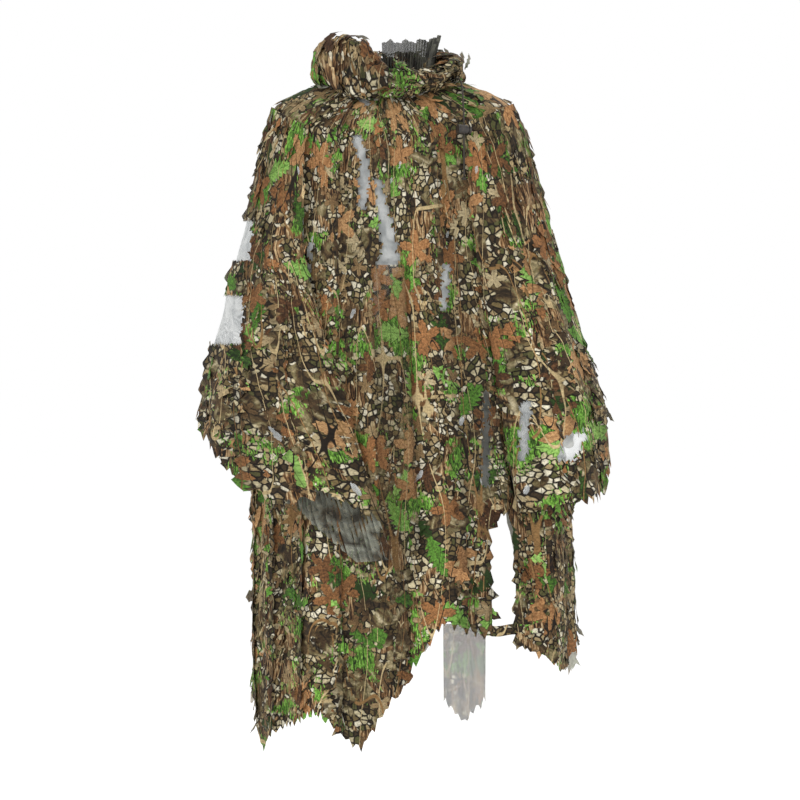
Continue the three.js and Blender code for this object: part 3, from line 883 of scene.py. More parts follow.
@dataclass(frozen=True)
class NetPattern:
    """The knitted netting's meshes, as a group of a hole mask and a yarn height."""

    pitch: float = 0.0021
    crumple: float = 0.0006

    def group(self) -> bpy.types.NodeTree:
        """Builds the group: Place, Yarn and Pitch in, Cover and Height out."""
        group, graph, inputs, outputs = new_group(
            "netting meshes", {"Yarn": 0.34, "Pitch": self.pitch},
            {"Cover": "NodeSocketFloat", "Height": "NodeSocketFloat"})
        wander = graph.noise(inputs.outputs["Place"], 60, 2.0)
        shift = graph.vector("MULTIPLY", wander.outputs["Color"], (self.crumple, self.crumple, 0))
        place = graph.vector("ADD", inputs.outputs["Place"], shift)
        parts = graph.node("ShaderNodeSeparateXYZ", {0: place})
        across = graph.math("DIVIDE", parts.outputs[0], inputs.outputs["Pitch"])
        down = graph.math("DIVIDE", parts.outputs[1], inputs.outputs["Pitch"])
        first = graph.math("PINGPONG", graph.math("ADD", across, down), 0.5)
        second = graph.math("PINGPONG", graph.math("SUBTRACT", across, down), 0.5)
        nearest = graph.math("MINIMUM", first, second)
        half_yarn = graph.math("MULTIPLY", inputs.outputs["Yarn"], 0.5)
        cover = graph.math("LESS_THAN", nearest, half_yarn)
        height = graph.math("SUBTRACT", 1.0, graph.math("DIVIDE", nearest, half_yarn), clamp=True)
        graph.feed(outputs, {"Cover": cover, "Height": height})
        return group


@dataclass(frozen=True)
class WeavePattern:
    """A plain weave's threads, as a group of a height."""

    pitch: float = 0.0007

    def group(self) -> bpy.types.NodeTree:
        """Builds the group: Place and Pitch in, Height out."""
        group, graph, inputs, outputs = new_group(
            "thread weave", {"Pitch": self.pitch}, {"Height": "NodeSocketFloat"})
        parts = graph.node("ShaderNodeSeparateXYZ", {0: inputs.outputs["Place"]})
        turn = graph.math("DIVIDE", 2 * math.pi, inputs.outputs["Pitch"])
        across = graph.math("SINE", graph.math("MULTIPLY", parts.outputs[0], turn))
        down = graph.math("SINE", graph.math("MULTIPLY", parts.outputs[1], turn))
        height = graph.math("MULTIPLY_ADD", graph.math("MULTIPLY", across, down), 0.5, 0.5)
        graph.feed(outputs, {"Height": height})
        return group


@dataclass(frozen=True)
class LeafPrint:
    """The printed forest floor: litter, pebbles, bark, twigs and whole leaves.

    Its group gives a colour and a height from a place on the roll, in metres.
    """

    litter_scale: float = 34
    pebble_scale: float = 105
    leaf_cell: float = 0.075
    leaf_reach: float = 0.034
    frond_cell: float = 0.078
    frond_reach: float = 0.040

    def spread(self, graph: Graph, place: object, cell: float, shift: tuple[float, float, float]
               ) -> tuple[bpy.types.NodeSocket, ...]:
        """Scatters turned local axes, one pair for each cell.

        Args:
            graph: the group's graph.
            place: the place on the roll.
            cell: the cells' width.
            shift: how far the cells are moved.

        Returns:
            The two local parts, and two chance values of the cell.
        """
        moved = graph.vector("ADD", place, shift)
        cells = graph.cells(moved, 1 / cell, randomness=0.85)
        local = graph.node("ShaderNodeSeparateXYZ", {
            0: graph.vector("SUBTRACT", moved, cells.outputs["Position"])})
        chance = graph.node("ShaderNodeSeparateColor", {0: cells.outputs["Color"]})
        turn = graph.math("MULTIPLY", chance.outputs[0], 4 * math.pi)
        cosine, sine = graph.math("COSINE", turn), graph.math("SINE", turn)
        x = graph.math("ADD", graph.math("MULTIPLY", local.outputs[0], cosine),
                       graph.math("MULTIPLY", local.outputs[1], sine))
        y = graph.math("SUBTRACT", graph.math("MULTIPLY", local.outputs[1], cosine),
                       graph.math("MULTIPLY", local.outputs[0], sine))
        return x, y, chance.outputs[1], chance.outputs[2]

    def lobed_leaf(self, graph: Graph, place: object, cell: float, reach: float,
                   shift: tuple[float, float, float]) -> tuple[bpy.types.NodeSocket, ...]:
        """A five-lobed leaf in each cell.

        Args:
            graph: the group's graph.
            place: the place on the roll.
            cell: the cells' width.
            reach: the longest leaf's radius.
            shift: how far the cells are moved.

        Returns:
            How far inside the leaf it is, its distance from a vein, and two chance values.
        """
        x, y, first, second = self.spread(graph, place, cell, shift)
        angle = graph.math("ARCTAN2", y, x)
        radius = graph.math("SQRT", graph.math("ADD", graph.math("MULTIPLY", x, x),
                                               graph.math("MULTIPLY", y, y)))
        lobes = graph.math("ABSOLUTE", graph.math("COSINE", graph.math("MULTIPLY", angle, 2.5)))
        notches = graph.math("PINGPONG", graph.math("MULTIPLY", angle, 5.2), 0.5)
        edge = graph.math("MULTIPLY_ADD", graph.math("POWER", lobes, 1.4), 0.66,
                          graph.math("MULTIPLY_ADD", notches, 0.22, 0.26))
        size = graph.math("MULTIPLY", edge, graph.math("MULTIPLY_ADD", second, 0.35 * reach,
                                                       0.75 * reach))
        inside = graph.math("SUBTRACT", size, radius)
        across = graph.math("MULTIPLY", radius, graph.math(
            "ABSOLUTE", graph.math("SINE", graph.math("MULTIPLY", angle, 2.5))))
        return inside, across, first, second

    def frond(self, graph: Graph, place: object, cell: float, reach: float,
              shift: tuple[float, float, float]) -> tuple[bpy.types.NodeSocket, ...]:
        """A long notched leaf in each cell.

        Args:
            graph: the group's graph.
            place: the place on the roll.
            cell: the cells' width.
            reach: the longest leaf's half length.
            shift: how far the cells are moved.

        Returns:
            How far inside the leaf it is, its distance from the rib, and two chance values.
        """
        x, y, first, second = self.spread(graph, place, cell, shift)
        share = graph.math("DIVIDE", x, reach)
        round_ = graph.math("SUBTRACT", 1.0, graph.math("MULTIPLY", share, share), clamp=True)
        notches = graph.math("PINGPONG", graph.math("ADD", graph.math("MULTIPLY", x, 95),
                             graph.math("MULTIPLY", graph.math("ABSOLUTE", y), 60)), 0.5)
        width = graph.math("MULTIPLY", graph.math("MULTIPLY_ADD", notches, 0.9, 0.45),
                           graph.math("MULTIPLY", round_, 0.50 * reach))
        away = graph.math("ABSOLUTE", y)
        return graph.math("SUBTRACT", width, away), away, first, second

    def laid(self, graph: Graph, under: object, leaf: tuple[bpy.types.NodeSocket, ...],
             colours: Sequence[tuple[float, tuple[float, ...]]], fewest: float,
             mottle: object) -> tuple[bpy.types.NodeSocket, bpy.types.NodeSocket]:
        """Lays one layer of leaves over a colour, each with a dark edge and dark ribs.

        Args:
            graph: the group's graph.
            under: the colour below.
            leaf: what lobed_leaf or frond returns.
            colours: the leaves' colours, by tone.
            fewest: the share of cells left without a leaf.
            mottle: a value that mottles them.

        Returns:
            The new colour, and the cover of the leaves.
        """
        inside, vein, first, second = leaf
        there = graph.math("GREATER_THAN", first, fewest)
        cover = graph.math("MULTIPLY", graph.ramp(inside, 0.0, 0.0006), there)
        shadow = graph.math("MULTIPLY", graph.ramp(inside, -0.0035, 0.0), there)
        tone = graph.math("MULTIPLY_ADD", mottle, 0.5, graph.math("MULTIPLY_ADD", second, 0.9, -0.2))
        body = graph.colours(tone, colours)
        ribs = graph.math("MULTIPLY", graph.math("SUBTRACT", 1.0, graph.ramp(vein, 0.0002, 0.0010)),
                          0.5)
        veined = graph.mix(ribs, body, solid(paint(52, 38, 24)))
        shaded = graph.mix(graph.math("MULTIPLY", shadow, 0.75), under, solid(paint(34, 28, 19)))
        return graph.mix(cover, shaded, veined), cover

    def group(self) -> bpy.types.NodeTree:
        """Builds the group: Place in, Color and Height out."""
        group, graph, inputs, outputs = new_group(
            "leaf litter print", {}, {"Color": "NodeSocketColor", "Height": "NodeSocketFloat"})
        place = inputs.outputs["Place"]
        coarse = graph.noise(place, self.litter_scale, 6.0, 1.2)
        fine = graph.noise(place, 260, 4.0, 0.6)
        speck = graph.noise(place, 620, 2.0)
        litter = graph.colours(coarse.outputs[0], (
            (0.30, paint(24, 19, 13)), (0.42, paint(54, 42, 27)), (0.48, paint(92, 74, 48)),
            (0.53, paint(108, 98, 66)), (0.60, paint(148, 134, 100)), (0.72, paint(200, 188, 156))))
        bend = graph.vector("MULTIPLY", coarse.outputs["Color"], (0.012, 0.012, 0))
        warp = graph.vector("ADD", place, bend)
        pebbles = graph.cells(warp, self.pebble_scale)
        rims = graph.cells(warp, self.pebble_scale, "DISTANCE_TO_EDGE")
        kind = graph.node("ShaderNodeSeparateColor", {0: pebbles.outputs["Color"]})
        stones = graph.colours(kind.outputs[0], (
            (0.0, paint(58, 46, 30)), (0.22, paint(112, 96, 62)), (0.38, paint(84, 82, 48)),
            (0.50, paint(160, 140, 102)), (0.66, paint(188, 176, 142)),
            (0.84, paint(214, 206, 182))), stepped=True)
        rim = graph.ramp(rims.outputs["Distance"], 0.05, 0.22)
        edged = graph.mix(rim, solid(paint(26, 20, 13)), stones)
        patch = graph.ramp(graph.noise(place, 17, 2.0, 0.8).outputs[0], 0.42, 0.46)
        colour = graph.mix(patch, litter, edged)
        turned = graph.node("ShaderNodeMapping", {0: place, "Rotation": (0, 0, 0.5),
                                                  "Scale": (1, 0.14, 1)})
        bark = graph.noise(turned.outputs[0], 190, 4.0, 1.4)
        streaks = graph.colours(bark.outputs[0], (
            (0.38, paint(28, 20, 13)), (0.47, paint(84, 58, 34)), (0.54, paint(134, 100, 64)),
            (0.66, paint(190, 166, 126))))
        barked = graph.ramp(graph.noise(place, 14, 2.0, 1.0).outputs[0], 0.58, 0.60)
        colour = graph.mix(barked, colour, streaks)
        colour = self.moss(graph, place, colour)
        fronds = self.frond(graph, place, self.frond_cell, self.frond_reach, (0.031, 0.017, 0))
        colour, first_cover = self.laid(graph, colour, fronds, (
            (0.2, paint(40, 60, 22)), (0.45, paint(78, 120, 42)), (0.7, paint(104, 154, 60)),
            (0.9, paint(138, 176, 90))), 0.50, fine.outputs[0])
        small = self.lobed_leaf(graph, place, 0.041, 0.019, (0.013, 0.057, 0))
        colour, third_cover = self.laid(graph, colour, small, (
            (0.1, paint(58, 44, 28)), (0.4, paint(118, 92, 60)), (0.65, paint(142, 118, 82)),
            (0.9, paint(176, 160, 124))), 0.62, coarse.outputs[0])
        leaves = self.lobed_leaf(graph, place, self.leaf_cell, self.leaf_reach, (0, 0, 0))
        colour, second_cover = self.laid(graph, colour, leaves, (
            (0.1, paint(70, 46, 28)), (0.4, paint(122, 84, 50)), (0.65, paint(156, 108, 66)),
            (0.95, paint(178, 140, 96))), 0.40, fine.outputs[0])
        colour = self.twigs(graph, place, colour)
        mottled = graph.math("MULTIPLY", graph.math("MULTIPLY_ADD", fine.outputs[0], 1.5, 0.10),
                             graph.math("MULTIPLY_ADD", speck.outputs[0], 0.9, 0.55))
        colour = graph.mix(1.0, colour, graph.grey(mottled), "MULTIPLY")
        height = graph.math("ADD", graph.math("ADD", first_cover, second_cover), third_cover)
        graph.feed(outputs, {"Color": colour, "Height": height})
        return group

    def moss(self, graph: Graph, place: object, under: object) -> bpy.types.NodeSocket:
        """Lays feathery green patches over a colour.

        Args:
            graph: the group's graph.
            place: the place on the roll.
            under: the colour below.

        Returns:
            The new colour.
        """
        turned = graph.node("ShaderNodeMapping", {0: place, "Rotation": (0, 0, -0.7),
                                                  "Scale": (1, 0.30, 1)})
        blades = graph.noise(turned.outputs[0], 330, 3.0, 1.0)
        patch = graph.noise(graph.vector("ADD", place, (5.0, 2.0, 0)), 13, 2.0, 0.6)
        there = graph.math("MULTIPLY_ADD", blades.outputs[0], 0.42, patch.outputs[0])
        green = graph.colours(blades.outputs[0], (
            (0.34, paint(26, 36, 14)), (0.46, paint(66, 100, 32)), (0.56, paint(100, 150, 52)),
            (0.70, paint(142, 184, 88))))
        return graph.mix(graph.ramp(there, 0.815, 0.835), under, green)

    def twigs(self, graph: Graph, place: object, under: object) -> bpy.types.NodeSocket:
        """Draws winding twigs, dark and pale, over a colour.

        Args:
            graph: the group's graph.
            place: the place on the roll.
            under: the colour below.

        Returns:
            The new colour.
        """
        for scale, width, tint in ((15, 0.008, paint(30, 23, 15)), (9, 0.006, paint(190, 168, 124)),
                                   (7, 0.006, paint(136, 104, 64))):
            turned = graph.node("ShaderNodeMapping", {
                0: place, "Location": (scale, 0.3, 0), "Rotation": (0, 0, 0.35 * scale),
                "Scale": (1, 0.16, 1)})
            line = graph.noise(turned.outputs[0], 2.2 * scale, 0.0)
            away = graph.math("ABSOLUTE", graph.math("SUBTRACT", line.outputs[0], 0.5))
            on = graph.math("SUBTRACT", 1.0, graph.ramp(away, width * 0.5, width))
            under = graph.mix(on, under, solid(tint))
        return under


@dataclass
class Finishes:
    """Every finish of the poncho, each built once."""

    print_bump: float = 0.35
    thread_pitch: float = 0.0009
    binding_pitch: float = 0.0012
    net_pitch: float = 0.0021
    sheer_pitch: float = 0.0014
    braid_turns: float = 4200

    def __post_init__(self) -> None:
        """Builds the shared groups and the materials."""
        self.print_group = LeafPrint().group()
        self.net_group = NetPattern().group()
        self.weave_group = WeavePattern().group()
        self.leaf_print = self.printed("leaf_print")
        self.sheer_print = self.printed("sheer_print", 0.80, 0.52)
        self.netting = self.net("netting", paint(172, 176, 176), paint(220, 222, 220), 0.36)
        self.gathered_netting = self.net("gathered_netting", paint(58, 55, 46), paint(146, 148, 134),
                                         0.46)
        self.lining_netting = self.net("lining_netting", paint(34, 33, 28), paint(92, 91, 80), 0.62)
        self.faded_print = self.printed("faded_print", 0.66, 0.50, 0.20)
        self.binding = self.bound()
        self.cord = self.braid()
        self.plastic = self.moulded()
        self.metal = self.worn_metal("eyelet_enamel", (900, 5.0), (0.45, paint(52, 47, 36)),
                                     (0.7, paint(150, 142, 122)), (0.4, 0.2), 0.0001)
        self.spring = self.worn_metal("spring_wire", (3000, 3.0), (0.4, paint(150, 150, 148)),
                                      (0.7, paint(205, 205, 202)), (0.25, 0.18), 0.00005)

    def start(self, name: str) -> tuple[bpy.types.Material, Graph, bpy.types.Node]:
        """Makes an empty material, and returns it with its graph and its shader."""
        material = bpy.data.materials.new(name)
        material.use_nodes = True
        graph = Graph(material.node_tree)
        return material, graph, material.node_tree.nodes["Principled BSDF"]

    def roll_place(self, graph: Graph) -> bpy.types.NodeSocket:
        """The place on the print roll, in metres."""
        return graph.node("ShaderNodeUVMap", uv_map="PrintRoll").outputs[0]

    def solid_place(self, graph: Graph) -> bpy.types.NodeSocket:
        """The place in the object's own space, in metres."""
        return graph.node("ShaderNodeTexCoord").outputs["Object"]

    def grouped(self, graph: Graph, group: bpy.types.NodeTree, inputs: dict) -> bpy.types.Node:
        """Places a shared group with its own values."""
        return graph.node("ShaderNodeGroup", inputs, node_tree=group)

    def bump(self, graph: Graph, height: object, distance: float, strength: float
             ) -> bpy.types.NodeSocket:
        """A bump's normals."""
        inputs = {"Height": height, "Distance": distance, "Strength": strength}
        return graph.node("ShaderNodeBump", inputs).outputs[0]

    def tone_and_painted_shade_grey(self, graph: Graph, lightness: float) -> bpy.types.NodeSocket:
        """The cloth's random tone times the painted shade of its folds, pleats and edges, as a grey."""
        shade = graph.node("ShaderNodeAttribute", attribute_name="shade")
        return graph.grey(graph.math("MULTIPLY", shade.outputs["Fac"], lightness))

    def printed(self, name: str, lightness: float = 1.0, yarn: float | None = None,
                fade: float = 0.0) -> bpy.types.Material:
        """The printed cloth, whose back is paler, and paler still as painted light for its shaded
        inside.

        Args:
            name: the material's name.
            lightness: how light its print is, against the usual.
            yarn: its yarns' share of its open mesh, or None where it is closely woven.
            fade: how far its print is faded to grey.

        Returns:
            The material.
        """
        material, graph, shader = self.start(name)
        place = self.roll_place(graph)
        pattern = self.grouped(graph, self.print_group, {"Place": place})
        weave = self.grouped(graph, self.weave_group, {"Place": place,
                                                          "Pitch": self.thread_pitch})
        faded = graph.mix(fade, pattern.outputs["Color"], solid(paint(150, 147, 136)))
        # The print is multiplied by the cloth's random tone and painted shade.
        face = graph.mix(1.0, faded, self.tone_and_painted_shade_grey(graph, lightness), "MULTIPLY")
        # The back is the print mixed far toward pale cream: the cloth's paler back, pushed paler as
        # painted light so that the shaded inside seen through the slits looks lit.
        paler_back_with_painted_light = graph.mix(0.75, face, solid(paint(222, 219, 208)))
        behind = graph.node("ShaderNodeNewGeometry").outputs["Backfacing"]
        if yarn is not None:
            mesh = self.grouped(graph, self.net_group, {"Place": place, "Yarn": yarn,
                                                        "Pitch": self.sheer_pitch})
            graph.feed(shader, {"Alpha": mesh.outputs["Cover"]})
        height = graph.math("MULTIPLY_ADD", pattern.outputs["Height"], 0.35, weave.outputs["Height"])
        graph.feed(shader, {
            "Base Color": graph.mix(behind, face, paler_back_with_painted_light), "Roughness": 0.82,
            "Specular IOR Level": 0.25,
            "Normal": self.bump(graph, height, 0.0003, self.print_bump)})
        return material

    def net(self, name: str, dark: tuple, pale: tuple, yarn: float) -> bpy.types.Material:
        """Knitted netting, open between its yarns.

        Args:
            name: the material's name.
            dark: its darkest colour.
            pale: its palest colour.
            yarn: its yarns' share of its pitch.

        Returns:
            The material.
        """
        material, graph, shader = self.start(name)
        place = self.roll_place(graph)
        pattern = self.grouped(graph, self.net_group, {"Place": place, "Yarn": yarn,
                                                       "Pitch": self.net_pitch})
        blotch = graph.noise(place, 34, 4.0, 0.8)
        colour = graph.colours(blotch.outputs[0], ((0.38, dark), (0.62, pale)))
        # The netting's colour is multiplied by the painted shade of its pleats, where it has them.
        graph.feed(shader, {
            "Base Color": graph.mix(1.0, colour, self.tone_and_painted_shade_grey(graph, 1.0), "MULTIPLY"),
            "Alpha": pattern.outputs["Cover"], "Roughness": 0.7,
            "Normal": self.bump(graph, pattern.outputs["Height"], 0.0004, 0.5)})
        return material

    def bound(self) -> bpy.types.Material:
        """The woven olive binding."""
        material, graph, shader = self.start("binding")
        place = self.roll_place(graph)
        weave = self.grouped(graph, self.weave_group, {"Place": place,
                                                          "Pitch": self.binding_pitch})
        blotch = graph.noise(place, 90, 4.0)
        tone = graph.math("MULTIPLY_ADD", weave.outputs["Height"], 0.25, blotch.outputs[0])
        colour = graph.colours(tone, ((0.45, paint(58, 54, 38)), (0.85, paint(112, 106, 80))))
        graph.feed(shader, {"Base Color": colour, "Roughness": 0.85,
                            "Normal": self.bump(graph, weave.outputs["Height"], 0.0004, 0.6)})
        return material

    def braid(self) -> bpy.types.Material:
        """The drawcord's dark braid."""
        material, graph, shader = self.start("cord_braid")
        place = self.solid_place(graph)
        parts = graph.node("ShaderNodeSeparateXYZ", {0: place})
        first, second = (graph.math("SINE", graph.math("MULTIPLY", graph.math(
            lay, parts.outputs[2], parts.outputs[0]), self.braid_turns)) for lay in ("ADD", "SUBTRACT"))
        height = graph.math("MULTIPLY_ADD", graph.math("MULTIPLY", first, second), 0.5, 0.5)
        colour = graph.colours(height, ((0.1, paint(20, 17, 14)), (0.9, paint(66, 58, 46))))
        graph.feed(shader, {"Base Color": colour, "Roughness": 0.75,
                            "Normal": self.bump(graph, height, 0.0003, 0.7)})
        return material

    def moulded(self) -> bpy.types.Material:
        """The lock's dark moulded plastic, finely textured and rubbed."""
        material, graph, shader = self.start("lock_moulding")
        place = self.solid_place(graph)
        grain = graph.noise(place, 2600, 3.0)
        rub = graph.noise(place, 240, 4.0)
        colour = graph.colours(rub.outputs[0], ((0.35, paint(24, 20, 18)), (0.75, paint(62, 54, 48))))
        graph.feed(shader, {"Base Color": colour,
                            "Roughness": graph.math("MULTIPLY_ADD", rub.outputs[0], 0.3, 0.3),
                            "Normal": self.bump(graph, grain.outputs[0], 0.0002, 0.35)})
        return material

    def worn_metal(self, name: str, grain: tuple[float, float], dark: tuple, pale: tuple,
                   rough: tuple[float, float], depth: float) -> bpy.types.Material:
        """A metal, darker where its grain is low and rougher where it is high.

        Args:
            name: the material's name.
            grain: its grain's scale and detail.
            dark: a place in the grain and its darkest colour.
            pale: a place in the grain and its palest colour.
            rough: how far its roughness rises with the grain, and where it starts.
            depth: the grain's depth in metres.

        Returns:
            The material.
        """
        material, graph, shader = self.start(name)
        wear = graph.noise(self.solid_place(graph), *grain).outputs[0]
        graph.feed(shader, {"Base Color": graph.colours(wear, (dark, pale)), "Metallic": 1.0,
                            "Roughness": graph.math("MULTIPLY_ADD", wear, *rough),
                            "Normal": self.bump(graph, wear, depth, 0.3)})
        return material


# ---- Sub-assemblies -------------------------------------------------------------------


def cloth_area(piece: bpy.types.Object) -> float:
    """A cloth piece's area in square metres."""
    areas = np.empty(len(piece.data.polygons), dtype=np.float32)
    piece.data.polygons.foreach_get("area", areas)
    return float(areas.sum())


@dataclass
class SleeveJoint:
    """A sleeve's joint between the garment and the arm: its body and its two ends."""

    body: Body
    start: tuple[float, float, float]
    end: tuple[float, float, float]

    def follow(self, piece: bpy.types.Object) -> None:
        """Bakes a piece's placement into its mesh; nothing is turned across the joint."""
        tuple(self.start)
        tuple(self.end)
        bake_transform(piece)


@dataclass
class Netting:
    """One panel of the netting.

    Attributes:
        node: the frame's node that it replaces.
        surface: the surface that it hangs in.
        first: its first edge's place across.
        last: its last edge's place across.
        top: the length down at which it starts.
        end: the length down at which it ends, across it.
        spacing: metres for one step across.
        step: the mesh's spacing.
        pleats: how deep its pleats are.
        pleat_turn: how fast its pleats follow each other across, in radians for one step.
        lift: how far it stands out.
        held: how it is held.
        turned: whether its faces are turned over.
    """

    node: str
    surface: Surface
    first: float
    last: float
    top: float
    end: Edge
    spacing: float = STRIP_WIDTH
    step: float = 0.012
    pleats: float = 0.0
    pleat_turn: float = 60.0
    lift: float = 0.001
    held: Held = Held.HUNG
    turned: bool = False

    def build(self, material: bpy.types.Material) -> bpy.types.Object:
        """Makes the panel's cloth."""
        width = (self.last - self.first) * self.spacing
        fine = self.step / 4 if self.pleats else self.step
        across = np.linspace(self.first, self.last, max(4, int(width / fine)) + 1)[None, :]
        longest = float(np.max(self.end(across[0]))) - self.top
        down = np.linspace(0, 1, max(4, int(longest / self.step)) + 1)[:, None]
        drop = self.top + (self.end(across) - self.top) * down
        wander = 1.5 * np.sin(9 * drop)
        ridge = np.sin(self.pleat_turn * across + wander) * down ** 0.5 if self.pleats else 0.0
        lift = self.lift + crumple(NET_CRUMPLE, across, drop) + self.pleats * ridge
        # Painted light and shade: the pleats' ridges are lighter and their hollows darker.
        shade = 1 + 0.45 * np.sign(ridge) * np.abs(ridge) ** 2
        return sheet_object("mesh_" + self.node, self.surface(across, drop, lift),
                            roll_places(across * self.spacing, drop), shade, material, self.turned)

    def flat(self) -> tuple[float, float]:
        """The size that the panel was cut to, with its fullness."""
        ends = self.end(np.linspace(self.first, self.last, 9))
        fullness = 1.12 if self.pleats else 1.05
        return (self.last - self.first) * self.spacing * fullness, float(np.max(ends)) - self.top


@dataclass
class Outfitter:
    finishes: Finishes
    rng: np.random.Generator
    cutter: LeafCutter

    def declare(self, piece: bpy.types.Object, node: str, slot: str, body: Body,
                joint: SleeveJoint | None, flat: tuple[float, float], held: Held,
                fringe: Sequence[bpy.types.Object] = ()) -> None:
        """Ties a sheet and its fringe to the frame's body, or only bakes them in place where a sleeve
        joint is given, and hides the frame's piece.

        Args:
            piece: the sheet.
            node: the node that it replaces.
            slot: the material slot of both; not used.
            body: the body that they ride on.
            joint: the sleeve joint that they cross, or None.
            flat: the sheet's cut size.
            held: how it is held; not used.
            fringe: the leaves on it.
        """
        for part in (piece, *fringe):
            if joint is None:
                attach(part, body.value)
            else:
                joint.follow(part)
        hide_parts(node)
        area = cloth_area(piece)
        width, length = flat
        short = max(1.0, area / (width * length))
        log.info("%s: sheet %.3f x %.3f m, %.3f m2, rides on %s",
                 piece.name, width * short, length, area, body.value)

    def sew_net(self, panel: Netting, material: bpy.types.Material, body: Body = Body.GARMENT,
                joint: SleeveJoint | None = None) -> None:
        """Adds one net panel.

        Args:
            panel: the panel.
            material: its finish.
            body: the body that it rides on.
            joint: the sleeve joint that it crosses, or None.
        """
        piece = panel.build(material)
        self.declare(piece, panel.node, "netting", body, joint, panel.flat(), panel.held)

    def sew_strip(self, strip: Strip, material: bpy.types.Material, body: Body = Body.GARMENT,
                  joint: SleeveJoint | None = None, leafy: bool = True) -> None:
        """Adds one printed strip, with its leaves where it is leafy.

        Args:
            strip: the strip.
            material: its finish.
            body: the body that it rides on.
            joint: the sleeve joint that it crosses, or None.
            leafy: whether leaves are cut loose on it.
        """
        piece = strip.build(self.rng, material)
        data = MeshData()
        if leafy:
            self.cutter.cover(data, strip)
        fringe = []
        if data.count:
            fringe.append(data.build("leaves_" + strip.node, material, strip.turned))
        self.declare(piece, strip.node, "leaf_print", body, joint, strip.cut_size(), Held.HUNG, fringe)


def edge(place: float) -> Edge:
    """A strip's straight edge at a place across."""
    return lambda drop: np.full(np.shape(drop), place)


def hem_drop(index: Array) -> Array:
    """The length down to the hem at places round the body."""
    return DRAPE.drop_at_height(hem_height(index))


def net_hem_drop(index: Array) -> Array:
    """The length down to the netting's edge, which the prints' hem covers."""
    nearby = [hem_drop(index + step) for step in NET_HEM_REACH]
    return np.min(nearby, axis=0) - NET_HEM_INSET


FRONT_SLITS = (
    Opening((-0.021, -0.005), (-0.042, -0.062), (-0.036, -0.037)),
    Opening((-0.200, -0.155, -0.121, -0.072), (-0.044, -0.048, -0.044, -0.062),
            (-0.034, -0.028, -0.028, -0.046)),
    Opening((-0.345, -0.290, -0.210, -0.146), (-0.002, -0.004, -0.012, -0.020),
            (0.008, 0.026, 0.010, -0.008)),
    Opening((-0.402, -0.340, -0.275), (-0.014, -0.020, -0.012), (-0.008, -0.006, -0.004)),
    Opening((-0.370, -0.290), (0.094, 0.096), (0.105, 0.109)),
    Opening((-0.665, -0.505), (0.163, 0.166), (0.175, 0.177)),
    Opening((-0.333, -0.253), (-0.142, -0.140), (-0.132, -0.128)),
)
BEHIND_PLACKET = Opening((-0.800, -0.292), (-0.026, -0.034), (0.036, 0.032))
BEHIND_CUFF = Opening((-0.800, -0.670), (-0.180, -0.180), (-0.034, -0.034))
PLACKET_OPENING = Opening((-0.662, -0.625, -0.595), (0.012, 0.008, 0.012), (0.024, 0.030, 0.026))
RIGHT_SLEEVE_WINDOWS = (Opening((-0.283, -0.212), (-0.42, -0.42), (-0.244, -0.244)),
                        Opening((-0.427, -0.342), (-0.42, -0.42), (-0.252, -0.248)))
LEFT_SLEEVE_SLITS = (Opening((-0.620, -0.521), (0.224, 0.228), (0.240, 0.247)),
                     Opening((-0.622, -0.576), (0.290, 0.300), (0.320, 0.338)))
UNDER_LOCK = Opening((-0.175, -0.095), (0.0, 0.0), (0.158, 0.155))


